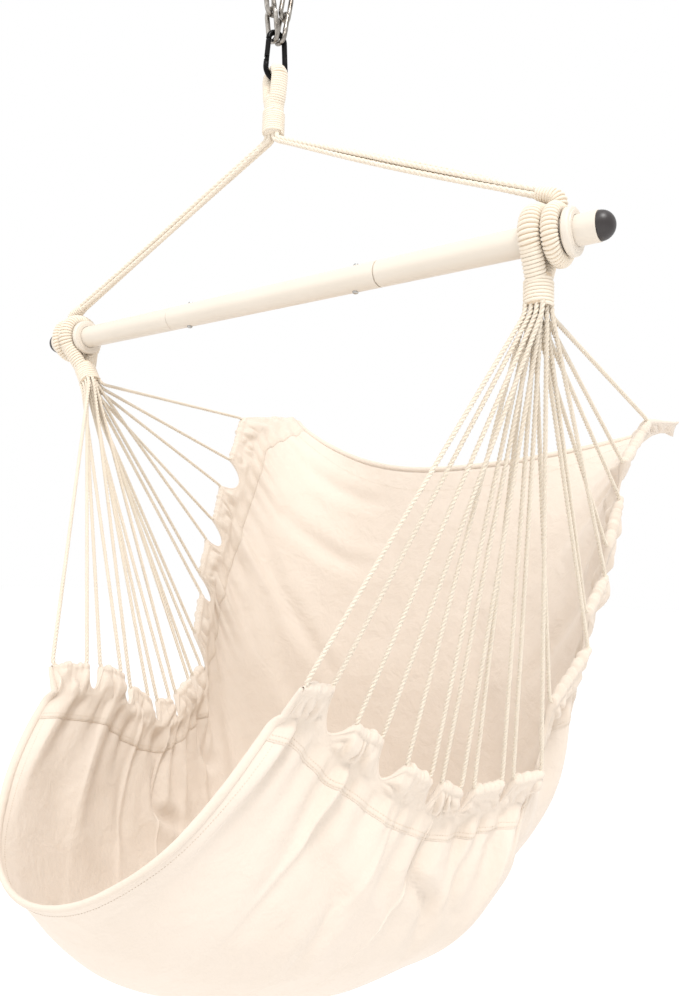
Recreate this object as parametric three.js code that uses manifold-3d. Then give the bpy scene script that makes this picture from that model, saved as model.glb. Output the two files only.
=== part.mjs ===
// Hanging hammock chair: a cotton seat hung by cords from a three-part bar, and the bar hung by ropes from a
// snap hook on a doubled chain. Millimetres, +X along the bar, +Y to the chair's back, +Z up. The origin is
// the point midway between the tops of the two upper links, which is what the chair hangs from.
import * as THREE from 'three';
import { mergeVertices } from 'three/addons/utils/BufferGeometryUtils.js';
import Module from 'manifold-3d';

const wasm = await Module();
wasm.setup();

// Fits shared by all pieces
const seatGap = 0.3; // between two pieces that touch
const overrun = 2; // how far a cutting solid passes the face that it cuts

// Take-down bar
const barLength = 1000;
const barDiameter = 35;
const barWall = 1.5;
const centreTubeLength = 385.2;
const spigotLength = 70; // reduced end of each side tube, inside the centre tube
const spigotGap = 0.35; // all round the spigot
const jointGap = 0.6; // seen as a dark line where two tubes meet
const capDomeLength = 17;
const capDiameter = 33.6;
const capPlugLength = 16;
const stopRingDiameter = 56;
const stopRingWidth = 12;
const leftRingToBarEnd = 100; // from the bar's end to the ring's inner face
const buttonFromJoint = 37;
const buttonDiameter = 8;
const buttonProud = 2.6;
const buttonFlangeDiameter = 11;
const buttonFlangeThickness = 1.4;
const buttonHoleGap = 0.35;
const clipLength = 46;
const clipWidth = 8;
const clipThickness = 0.9;

// Loops on the bar
const seatLoopWidth = 26;
const seatLoopThickness = 22.7;
const rightLoopToBarEnd = 88; // from the bar's end to the middle of the right seat loop
const loopSideGap = 0.4;
const wrapDepth = 0.9; // from the crest of a wrap to the groove beside it
const seatLoopWraps = 14;
const neckDiameter = 35.6;
const neckCoreDiameter = 29.6;
const neckWhippingLength = 28;
const neckBottomDrop = 79; // from the bar's axis to the underside of the neck
const leftNeckLean = 34; // the left neck leans this much towards the middle
const leanStart = 26; // depth below the bar's axis where the lean starts
const hangerLoopThickness = 20;
const hangerLoopWraps = 14;
const collarDiameter = 19;
const collarLength = 28; // from the loop's middle to where the ropes come out
const collarRise = 43.2; // height of the collar's axis over the loop's middle

// Ropes, neck and eye above the bar
const ropeDiameter = 7;
const ropePitch = 6.3; // the ropes of a bundle press into each other
const knotHeight = 242; // from the bar's axis to the underside of the neck
const hangerNeckLength = 58;
const hangerNeckDiameter = 29;
const hangerWhippingDiameter = 33;
const hangerWhippingLength = 33;
const eyeLegLength = 26;
const eyeThickness = 19; // across the slit
const eyeTopWidth = 19; // where it passes through the hook
const eyeLegWidth = 26;
const ropeBend = 14;

// Snap hook
const hangAzimuth = THREE.MathUtils.degToRad(70); // plane of the hook and of the two strands of chain
const hookWire = 8;
const hookHeight = 80;
const hookWidth = 40;
const hookTopBend = 13; // radius of the wire's middle line
const gateWire = 7.6;
const gateLength = 26; // from the hinge pin to the nose pin
const hingeBelowBend = 0.6; // from the end of the top bend to the hinge pin
const tongueThickness = 2.6;
const tongueWidth = 5.6;
const tongueReach = 5; // from the wire's end face to the pin
const slotSideGap = 0.3;
const hookPinDiameter = 2.4;
const pinRunningGap = 0.2;
const nosePinLength = 6.4;
const gateSpringDiameter = 3.2;
const gateSpringWire = 0.7;
const gateSpringLength = 13;
const gateSpringTurns = 3;

// Chain
const linkWire = 7.2;
const linkLength = 54;
const linkWidth = 25.6;
const strandTilt = THREE.MathUtils.degToRad(8); // each strand leans away from the other
const strandSpread = 3.95; // from the middle to each link where they share the hook
const lowerLinkTurns = [-78, -80].map(THREE.MathUtils.degToRad); // from the hook's plane, left and right
const upperLinkTurn = THREE.MathUtils.degToRad(24); // from the hook's plane

// Seat
const seatHalfWidth = 420; // to the corner of the back
const seatReach = 530; // forward or back of the bar
const seatDrop = 1000; // from the bar's axis to the lowest cloth
const clothThickness = 2;
const tabHeight = 40;
const bandHeight = 7;
const sleeveCrown = 7.4; // radius of the sleeve round its cord
const sleeveWall = 1.5;
const sleeveBaseHalf = 2.4;
const ruffle = 1.6; // depth of the gathers along a sleeve
const seamTurn = 0.45; // 0 where a sleeve hangs in line with its cords, 1 where it points to the middle line
const mouthGap = 4.5; // from where a cord starts to bend to the mouth of its sleeve
const cordDiameter = 6;
const cordPitch = 6.8;
const cordCornerBend = 7;
const cordNeckBend = 13;
const cordStart = 9;
const foldDepth = 9;
const frontHemDiameter = 11;
const backHemDiameter = 9;

// Cord corners along the side edge, front to back: shares of the half width, the reach and the drop. The drop
// has two shares, right and left, because the seat hangs a little lower on the right. Each pair is one
// sleeve.
const cordCornerShares = [
  [0.526, -0.311, 0.510, 0.527],
  [0.517, -0.206, 0.517, 0.532],
  [0.543, -0.145, 0.561, 0.537],
  [0.557, -0.06, 0.584, 0.552],
  [0.595, 0, 0.615, 0.576],
  [0.612, 0.085, 0.638, 0.601],
  [0.621, 0.125, 0.646, 0.604],
  [0.64, 0.192, 0.661, 0.608],
  [0.66, 0.228, 0.66, 0.6],
  [0.702, 0.315, 0.656, 0.583],
  [0.721, 0.345, 0.654, 0.577],
  [0.774, 0.423, 0.648, 0.565],
  [0.805, 0.413, 0.558, 0.509],
  [0.888, 0.502, 0.48, 0.438],
  [0.886, 0.489, 0.436, 0.401],
  [0.924, 0.547, 0.381, 0.335],
  [0.919, 0.572, 0.343, 0.296],
  [0.94, 0.621, 0.269, 0.225],
  [0.936, 0.66, 0.216, 0.17],
  [0.983, 0.76, 0.146, 0.075],
];
// The cloth's free back corner, beyond the last sleeve
const earShares = [1, 0.994, 0.13, 0.052];
// The cloth's middle line, front to back: shares of the reach and the drop
const middleLineShares = [
  [-0.623, 0.745],
  [-0.43, 0.85],
  [-0.09, 0.935],
  [0.21, 0.968],
  [0.55, 0.92],
  [0.77, 0.77],
  [0.85, 0.58],
  [0.9, 0.38],
  [0.925, 0.193],
];
// How full the cross-section is along the middle line: 0 a slack curve, 1 a half ellipse
const fullnessShares = [0.75, 0.8, 0.8, 0.8, 0.7, 0.5, 0.3, 0.15, 0];
const clothColumns = 12;

// Sizes that follow from those above
const barRadius = barDiameter / 2;
const boreRadius = barRadius - barWall;
const spigotRadius = boreRadius - spigotGap;
const spigotBore = spigotRadius - barWall;
const loopBore = barRadius + seatGap;
const shoulderDrop = loopBore + hangerLoopThickness + loopSideGap;
const leftRingInnerFace = barLength / 2 - leftRingToBarEnd;
const rightSeatLoopX = barLength / 2 - rightLoopToBarEnd;
const leftSeatLoopX = leftRingInnerFace + stopRingWidth + loopSideGap + seatLoopWidth / 2;
const loopStep = (seatLoopWidth + hangerLoopThickness) / 2 + loopSideGap;
const leftHangerLoopX = leftSeatLoopX + loopStep;
const rightHangerLoopX = rightSeatLoopX + loopStep;
const rightRingInnerFace = rightHangerLoopX + hangerLoopThickness / 2 + loopSideGap;
const tubeEnd = barLength / 2 - capDomeLength;
const jointX = centreTubeLength / 2;
const buttonX = jointX - buttonFromJoint;
const hookWireHalf = hookWire / 2;
const hookBottomBend = hookWidth / 2 - hookWireHalf;
const bendSpacing = hookHeight - hookWire - hookBottomBend - hookTopBend;
const slotHeight = knotHeight + hangerNeckLength;
const hookBottomWire = slotHeight + eyeLegLength;
const linkPitch = linkLength - linkWire;

// Materials
const cream = new THREE.MeshStandardMaterial({ color: 0xf5ecde, roughness: 0.38, metalness: 0.1 });
const rope = new THREE.MeshStandardMaterial({ color: 0xf8efe0, roughness: 0.9, metalness: 0 });
const cloth = new THREE.MeshStandardMaterial({ color: 0xf2e6d6, roughness: 0.95, metalness: 0 });
const charcoal = new THREE.MeshStandardMaterial({ color: 0x373030, roughness: 0.45, metalness: 0 });
const blackSteel = new THREE.MeshStandardMaterial({ color: 0x141314, roughness: 0.3, metalness: 0.6 });
const chainSteel = new THREE.MeshStandardMaterial({ color: 0xc9c6bf, roughness: 0.22, metalness: 1 });
const springSteel = new THREE.MeshStandardMaterial({ color: 0x9a9a98, roughness: 0.35, metalness: 1 });

const chair = new THREE.Group();
const hung = new THREE.Group(); // everything, with its origin on the bar's axis
chair.add(hung);

const vec = (x, y, z) => new THREE.Vector3(x, y, z);

function addPiece(name, geometry, material) {
  const piece = new THREE.Mesh(geometry, material.clone());
  piece.name = name;
  hung.add(piece);
  return piece;
}

// Booleans
function solidOf(geometry) {
  const bare = geometry.clone();
  bare.deleteAttribute('normal');
  bare.deleteAttribute('uv');
  const merged = mergeVertices(bare);
  const mesh = new wasm.Mesh({
    numProp: 3,
    vertProperties: merged.getAttribute('position').array,
    triVerts: new Uint32Array(merged.getIndex().array),
  });
  return new wasm.Manifold(mesh);
}

function geometryOf(solid) {
  const mesh = solid.getMesh();
  const geometry = new THREE.BufferGeometry();
  geometry.setAttribute('position', new THREE.BufferAttribute(mesh.vertProperties, 3));
  geometry.setIndex(new THREE.BufferAttribute(mesh.triVerts, 1));
  geometry.computeVertexNormals();
  return geometry;
}

function joined(...geometries) {
  return geometryOf(geometries.map(solidOf).reduce((sum, next) => sum.add(next)));
}

function cut(geometry, ...tools) {
  return geometryOf(tools.map(solidOf).reduce((rest, tool) => rest.subtract(tool), solidOf(geometry)));
}

// A solid whose skin runs from ring to ring. Each end of an open one is closed by strips across the ring.
function loft(rings, closed = false) {
  const count = rings[0].length;
  const index = [];
  const spans = closed ? rings.length : rings.length - 1;
  for (let ring = 0; ring < spans; ring += 1) {
    const here = ring * count;
    const next = ((ring + 1) % rings.length) * count;
    for (let j = 0; j < count; j += 1) {
      const k = (j + 1) % count;
      index.push(here + j, here + k, next + j, here + k, next + k, next + j);
    }
  }
  for (const end of closed ? [] : [0, rings.length - 1]) {
    const base = end * count;
    const turn = end === 0 ? 1 : -1;
    for (let low = 0, high = count - 1; low + 1 < high; low += 1, high -= 1) {
      const strip = [base + low, base + high, base + low + 1];
      index.push(...(turn > 0 ? strip : strip.reverse()));
      if (low + 1 < high - 1) {
        const other = [base + low + 1, base + high, base + high - 1];
        index.push(...(turn > 0 ? other : other.reverse()));
      }
    }
  }
  const geometry = new THREE.BufferGeometry();
  const corners = rings.flat().flatMap((p) => [p.x, p.y, p.z]);
  geometry.setAttribute('position', new THREE.Float32BufferAttribute(corners, 3));
  geometry.setIndex(index);
  return faceOutwards(geometry);
}

function faceOutwards(geometry) {
  const position = geometry.getAttribute('position');
  const index = geometry.getIndex();
  const corner = (i) => vec().fromBufferAttribute(position, index.getX(i));
  let volume = 0;
  for (let i = 0; i < index.count; i += 3) {
    volume += corner(i).dot(corner(i + 1).cross(corner(i + 2)));
  }
  if (volume < 0) {
    index.array.reverse();
  }
  geometry.computeVertexNormals();
  return geometry;
}

// A tube along a route of chosen points, with a ring at each point
class Route extends THREE.Curve {
  constructor(points) {
    super();
    this.points = points;
  }

  getPoint(t, target = vec()) {
    const place = t * (this.points.length - 1);
    const before = Math.min(Math.floor(place + 1e-9), this.points.length - 2);
    return target.lerpVectors(this.points[before], this.points[before + 1], place - before);
  }

  getPointAt(u, target) {
    return this.getPoint(u, target);
  }

  getTangentAt(u, target = vec()) {
    const last = this.points.length - 1;
    const here = Math.round(u * last);
    const into = this.points[here].clone().sub(this.points[Math.max(here - 1, 0)]).normalize();
    const out = this.points[Math.min(here + 1, last)].clone().sub(this.points[here]).normalize();
    return target.copy(into.add(out).normalize());
  }
}

function circle(radius) {
  return new THREE.Shape().absarc(0, 0, radius, 0, 2 * Math.PI);
}

function tubeAlong(points, radius, sides) {
  return new THREE.ExtrudeGeometry(circle(radius), {
    steps: points.length - 1,
    curveSegments: sides / 2,
    extrudePath: new Route(points),
  });
}

// How far from a corner its bend starts
function bendReach(before, corner, after, radius) {
  const into = corner.clone().sub(before);
  const out = after.clone().sub(corner);
  return Math.min(radius * Math.tan(into.angleTo(out) / 2), into.length() * 0.95, out.length() / 2);
}

// The same route with each inner corner rounded by a short curve
function rounded(points, bends, stepsPerBend) {
  const route = [points[0]];
  for (let i = 1; i < points.length - 1; i += 1) {
    const reach = bendReach(points[i - 1], points[i], points[i + 1], bends[i - 1]);
    const into = points[i].clone().sub(points[i - 1]).setLength(reach);
    const out = points[i + 1].clone().sub(points[i]).setLength(reach);
    const bend = new THREE.QuadraticBezierCurve3();
    bend.v0.copy(points[i]).sub(into);
    bend.v1.copy(points[i]);
    bend.v2.copy(points[i]).add(out);
    route.push(...bend.getPoints(stepsPerBend));
  }
  route.push(points[points.length - 1]);
  return route;
}

// A profile of [radius, along] pairs turned about the bar's axis
function turnedAlongX(profile, segments) {
  const points = profile.map(([radius, along]) => new THREE.Vector2(radius, along));
  const lathe = new THREE.LatheGeometry(points, segments);
  lathe.rotateZ(-Math.PI / 2);
  return faceOutwards(mergedGeometry(lathe));
}

function turnedAlongZ(profile, segments) {
  const points = profile.map(([radius, along]) => new THREE.Vector2(radius, along));
  const lathe = new THREE.LatheGeometry(points, segments);
  lathe.rotateX(Math.PI / 2);
  return faceOutwards(mergedGeometry(lathe));
}

function mergedGeometry(geometry) {
  geometry.deleteAttribute('normal');
  geometry.deleteAttribute('uv');
  return mergeVertices(geometry);
}

function rod(radius, from, to, sides, startRadius = radius) {
  const along = to.clone().sub(from);
  const geometry = new THREE.CylinderGeometry(radius, startRadius, along.length(), sides);
  const turn = new THREE.Quaternion().setFromUnitVectors(vec(0, 1, 0), along.clone().normalize());
  geometry.applyQuaternion(turn);
  const middle = from.clone().lerp(to, 0.5);
  geometry.translate(middle.x, middle.y, middle.z);
  return geometry;
}

// Take-down bar
function barTubes() {
  const segments = 20;
  const buttonHole = (side) =>
    rod(
      buttonDiameter / 2 + buttonHoleGap,
      vec(side * buttonX, 0, -barRadius - overrun),
      vec(side * buttonX, 0, barRadius + overrun),
      12,
    );
  const centre = turnedAlongX(
    [
      [boreRadius, -jointX], [barRadius, -jointX], [barRadius, jointX], [boreRadius, jointX],
      [boreRadius, -jointX],
    ],
    segments,
  );
  addPiece('bar_centre_tube', cut(centre, buttonHole(1), buttonHole(-1)), cream);
  const shoulder = jointX + jointGap;
  const outline = [
    [spigotBore, jointX - spigotLength],
    [spigotRadius, jointX - spigotLength],
    [spigotRadius, shoulder],
    [barRadius, shoulder + seatGap],
    [barRadius, tubeEnd],
    [boreRadius, tubeEnd],
    [boreRadius, shoulder + barWall * 2],
    [spigotBore, shoulder],
    [spigotBore, jointX - spigotLength],
  ];
  for (const [name, side] of [['bar_left_tube', -1], ['bar_right_tube', 1]]) {
    const profile = outline.map(([radius, along]) => [radius, side * along]);
    addPiece(name, cut(turnedAlongX(profile, segments), buttonHole(side)), cream);
  }
}

function stopRings() {
  const outer = stopRingDiameter / 2;
  const corner = stopRingWidth * 0.25;
  const inner = barRadius + seatGap * 2;
  const half = stopRingWidth / 2;
  const profile = [
    [inner, -half],
    [outer - corner, -half],
    [outer, -half + corner],
    [outer, half - corner],
    [outer - corner, half],
    [inner, half],
    [inner, -half],
  ];
  const left = addPiece('left_stop_ring', turnedAlongX(profile, 24), cream);
  left.position.x = -leftRingInnerFace - half;
  const right = addPiece('right_stop_ring', turnedAlongX(profile, 24), cream);
  right.position.x = rightRingInnerFace + half;
}

function endCaps() {
  const dome = capDiameter / 2;
  const steps = 5;
  const profile = [[0, -capPlugLength], [boreRadius - seatGap - 1, -capPlugLength]];
  profile.push([boreRadius - seatGap, -capPlugLength + 2], [boreRadius - seatGap, seatGap], [dome, seatGap]);
  for (let i = 1; i <= steps; i += 1) {
    const turn = (i / steps) * (Math.PI / 2);
    const radius = i === steps ? 0 : dome * Math.cos(turn);
    profile.push([radius, seatGap + (capDomeLength - seatGap) * Math.sin(turn)]);
  }
  for (const [name, side] of [['left_end_cap', -1], ['right_end_cap', 1]]) {
    const shape = profile.map(([radius, along]) => [radius, side * (tubeEnd + along)]);
    addPiece(name, turnedAlongX(shape, 18), charcoal);
  }
}

// The snap buttons, and the bent strip inside the bar that pushes each pair out
function snapButtons() {
  const stem = buttonDiameter / 2;
  const flange = buttonFlangeDiameter / 2;
  const seat = Math.sqrt(spigotBore ** 2 - flange ** 2) - seatGap; // flange under the curved wall
  const top = barRadius + buttonProud;
  const profile = [
    [0, seat - buttonFlangeThickness],
    [flange, seat - buttonFlangeThickness],
    [flange, seat],
    [stem, seat],
    [stem, top - stem * 0.5],
    [stem * 0.75, top - stem * 0.16],
    [stem * 0.4, top - stem * 0.03],
    [0, top],
  ];
  const armTip = seat - buttonFlangeThickness - seatGap;
  const root = clipThickness * 2;
  for (const [side, name] of [[-1, 'left'], [1, 'right']]) {
    for (const [turn, place] of [[0, 'top'], [Math.PI, 'bottom']]) {
      const button = addPiece(name + '_' + place + '_button', turnedAlongZ(profile, 12), springSteel);
      button.position.x = side * buttonX;
      button.rotation.x = turn;
    }
    const clip = new THREE.Shape();
    clip.moveTo(0, root);
    clip.lineTo(clipLength - flange, armTip);
    clip.lineTo(clipLength + flange, armTip);
    clip.lineTo(clipLength + flange, armTip - clipThickness);
    clip.lineTo(clipLength - flange, armTip - clipThickness);
    clip.lineTo(clipThickness * 2, 0);
    clip.lineTo(clipLength - flange, -armTip + clipThickness);
    clip.lineTo(clipLength + flange, -armTip + clipThickness);
    clip.lineTo(clipLength + flange, -armTip);
    clip.lineTo(clipLength - flange, -armTip);
    clip.lineTo(0, -root);
    const geometry = new THREE.ExtrudeGeometry(clip, { depth: clipWidth, bevelEnabled: false });
    geometry.translate(-clipLength, 0, -clipWidth / 2);
    geometry.rotateX(Math.PI / 2);
    const strip = addPiece(name + '_button_spring', geometry, springSteel);
    strip.position.x = side * buttonX;
    strip.rotation.z = side > 0 ? 0 : Math.PI;
  }
}

// A wrapped loop round the bar: its wraps stand proud by turns
function wrappedRing(width, thickness, wraps) {
  const middle = loopBore + thickness / 2;
  const rings = [];
  const sides = 8;
  for (let i = 0; i < wraps * 2; i += 1) {
    const turn = (i / (wraps * 2)) * 2 * Math.PI;
    const sunk = i % 2 === 0 ? 0 : wrapDepth;
    const ring = [];
    for (let j = 0; j < sides; j += 1) {
      const around = ((j + 0.5) / sides) * 2 * Math.PI;
      const grow = 1 / Math.cos(Math.PI / sides);
      const radial = middle + Math.cos(around) * grow * (thickness / 2 - (Math.cos(around) > 0 ? sunk : 0));
      const along = Math.sin(around) * grow * (width / 2 - sunk);
      ring.push(vec(along, radial * Math.sin(turn), radial * Math.cos(turn)));
    }
    rings.push(ring);
  }
  return loft(rings, true);
}

function barPassage(length) {
  return rod(loopBore, vec(-length, 0, 0), vec(length, 0, 0), 28);
}

// Where a seat neck ends and which way it points
function neckOf(side) {
  const lean = side > 0 ? 0 : leftNeckLean;
  const loopX = side > 0 ? rightSeatLoopX : -leftSeatLoopX;
  const top = vec(loopX, 0, -leanStart);
  const bottom = vec(loopX + lean, 0, -neckBottomDrop);
  const along = bottom.clone().sub(top).normalize();
  return { loopX, bottom, along, across: vec(0, 1, 0).cross(along).negate() };
}

function seatLoops() {
  for (const [name, side] of [['left', -1], ['right', 1]]) {
    const { loopX, bottom, along } = neckOf(side);
    const at = (length) => bottom.clone().addScaledVector(along, -length);
    const shoulderEnd = at(neckWhippingLength + seatGap);
    const shoulderTop = at((shoulderDrop - neckBottomDrop) / along.z);
    const ring = wrappedRing(seatLoopWidth, seatLoopThickness, seatLoopWraps);
    ring.translate(loopX, 0, 0);
    const shoulder = rod(neckDiameter / 2, shoulderTop, shoulderEnd, 20, seatLoopWidth / 2 - wrapDepth);
    const core = rod(neckCoreDiameter / 2, shoulderEnd, at(0), 20);
    const passage = barPassage(seatLoopWidth * 2);
    passage.translate(loopX, 0, 0);
    addPiece(name + '_seat_loop', cut(joined(ring, shoulder, core), passage), rope);
    const whip = wrappedSleeve(neckCoreDiameter / 2 + seatGap * 3, neckDiameter / 2, neckWhippingLength, 4);
    const whipping = addPiece(name + '_neck_whipping', whip, rope);
    whipping.quaternion.setFromUnitVectors(vec(0, 0, -1), along);
    whipping.position.copy(bottom);
  }
}

// A whipping round a neck: rounded turns of thin cord, from z = 0 up
function wrappedSleeve(inner, outer, length, turns) {
  const profile = [[inner, 0]];
  for (let i = 0; i < turns; i += 1) {
    const low = (i / turns) * length;
    const high = ((i + 1) / turns) * length;
    profile.push([outer - wrapDepth, low], [outer, (low + high) / 2]);
  }
  profile.push([outer - wrapDepth, length], [inner, length], [inner, 0]);
  return turnedAlongZ(profile, 14);
}

// The wrapped loops that the bar hangs in, each with a collar towards the neck
function collarOf(side) {
  const loopX = side > 0 ? rightHangerLoopX : -leftHangerLoopX;
  const foot = vec(loopX, 0, collarRise);
  const end = vec(loopX - side * collarLength, 0, 0);
  const slope = (knotHeight - collarRise) / Math.abs(loopX);
  end.z = collarRise + collarLength * slope;
  const along = end.clone().sub(foot).normalize();
  return { loopX, foot, end, along };
}

function hangerLoops() {
  for (const [name, side] of [['left', -1], ['right', 1]]) {
    const { loopX, foot, end, along } = collarOf(side);
    const ring = wrappedRing(hangerLoopThickness, hangerLoopThickness, hangerLoopWraps);
    ring.translate(loopX, 0, 0);
    const collar = rod(collarDiameter / 2, foot.clone().addScaledVector(along, -wrapDepth), end, 16);
    addPiece(name + '_hanger_loop', joined(ring, collar), rope);
  }
}

// Four ropes in a bundle from each collar, turning up into the neck
function hangerRopes() {
  const half = ropePitch / 2;
  for (const [name, side] of [['left', -1], ['right', 1]]) {
    const { end, along } = collarOf(side);
    const up = vec(0, 1, 0).cross(along).multiplyScalar(-side);
    up.multiplyScalar(Math.sign(up.z));
    const ropes = [];
    for (const level of [-1, 1]) {
      for (const row of [-1, 1]) {
        const start = end.clone().addScaledVector(along, seatGap).addScaledVector(up, level * half);
        start.y = row * half;
        const reach = (ropeDiameter + seatGap) / 2 + (level > 0 ? ropePitch : 0);
        const top = vec(side * reach, row * half, knotHeight - seatGap);
        const below = top.clone();
        below.z = start.z + (start.x - top.x) * (along.z / Math.abs(along.x)) * side;
        below.z = Math.min(below.z, top.z - ropeDiameter);
        ropes.push(tubeAlong(rounded([start, below, top], [ropeBend], 2), ropeDiameter / 2, 8));
      }
    }
    addPiece(name + '_hanger_ropes', joined(...ropes), rope);
  }
}

// The neck above the ropes, its whipping, and the eye that passes through the hook
function hangerEye() {
  const axis = vec(Math.cos(hangAzimuth), Math.sin(hangAzimuth), 0); // along the hook's bottom wire
  const across = vec(Math.sin(hangAzimuth), -Math.cos(hangAzimuth), 0);
  const crown = hookWireHalf + seatGap + eyeThickness / 2;
  const stations = [];
  const meet = eyeThickness * 0.3;
  stations.push({ out: -meet, z: slotHeight - eyeThickness * 0.6, wide: eyeLegWidth });
  stations.push({ out: -crown * 0.8, z: slotHeight + eyeLegLength * 0.35, wide: eyeLegWidth });
  const arcSteps = 8;
  for (let i = 0; i <= arcSteps; i += 1) {
    const turn = Math.PI - (i / arcSteps) * Math.PI;
    const blend = Math.sin(turn);
    stations.push({
      out: crown * Math.cos(turn),
      z: hookBottomWire + crown * Math.sin(turn),
      wide: eyeLegWidth + (eyeTopWidth - eyeLegWidth) * Math.min(1, blend * 1.25),
    });
  }
  stations.push({ out: crown * 0.8, z: slotHeight + eyeLegLength * 0.35, wide: eyeLegWidth });
  stations.push({ out: meet, z: slotHeight - eyeThickness * 0.6, wide: eyeLegWidth });
  const sides = 12;
  const rings = stations.map((station, i) => {
    const before = stations[Math.max(i - 1, 0)];
    const after = stations[Math.min(i + 1, stations.length - 1)];
    const run = new THREE.Vector2(after.out - before.out, after.z - before.z).normalize();
    const ring = [];
    for (let j = 0; j < sides; j += 1) {
      const around = (j / sides) * 2 * Math.PI;
      const thick = (eyeThickness / 2) * Math.cos(around);
      const wide = (station.wide / 2) * Math.sin(around);
      ring.push(
        across
          .clone()
          .multiplyScalar(station.out - run.y * thick)
          .addScaledVector(axis, wide)
          .add(vec(0, 0, station.z + run.x * thick)),
      );
    }
    return ring;
  });
  const whippingTop = knotHeight + hangerWhippingLength;
  const neck = hangerNeckDiameter / 2;
  const body = turnedAlongZ(
    [
      [0, knotHeight],
      [neck - 1, knotHeight],
      [neck - 1, whippingTop + seatGap],
      [neck, whippingTop + seatGap],
      [neck, slotHeight - eyeThickness * 0.5],
      [neck * 0.7, slotHeight + seatGap],
      [0, slotHeight + seatGap],
    ],
    20,
  );
  addPiece('hanger_eye', joined(loft(rings), body), rope);
  const whip = wrappedSleeve(neck - 1 + seatGap * 3, hangerWhippingDiameter / 2, hangerWhippingLength, 5);
  addPiece('hanger_neck_whipping', whip, rope).position.z = knotHeight;
}

// Snap hook, drawn in its own plane: s towards the spine, z up, from the middle of the bottom wire's bend
const hookBendSteps = 8;
const flare = Math.asin((hookBottomBend - hookTopBend) / bendSpacing);

function hookArc(centre, radius, from, to, steps) {
  const points = [];
  for (let i = 0; i <= steps; i += 1) {
    const turn = from + ((to - from) * i) / steps;
    points.push(new THREE.Vector2(radius * Math.cos(turn), centre + radius * Math.sin(turn)));
  }
  return points;
}

function hookOutline(steps) {
  const bottom = hookArc(0, hookBottomBend, Math.PI - flare, 2 * Math.PI + flare, steps);
  const top = hookArc(bendSpacing, hookTopBend, flare, Math.PI - flare, steps);
  return { bottom, top };
}

const hookBase = vec(0, 0, hookBottomWire + hookBottomBend);
const inHookPlane = (s, z) => vec(s * Math.cos(hangAzimuth), s * Math.sin(hangAzimuth), z).add(hookBase);

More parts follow.
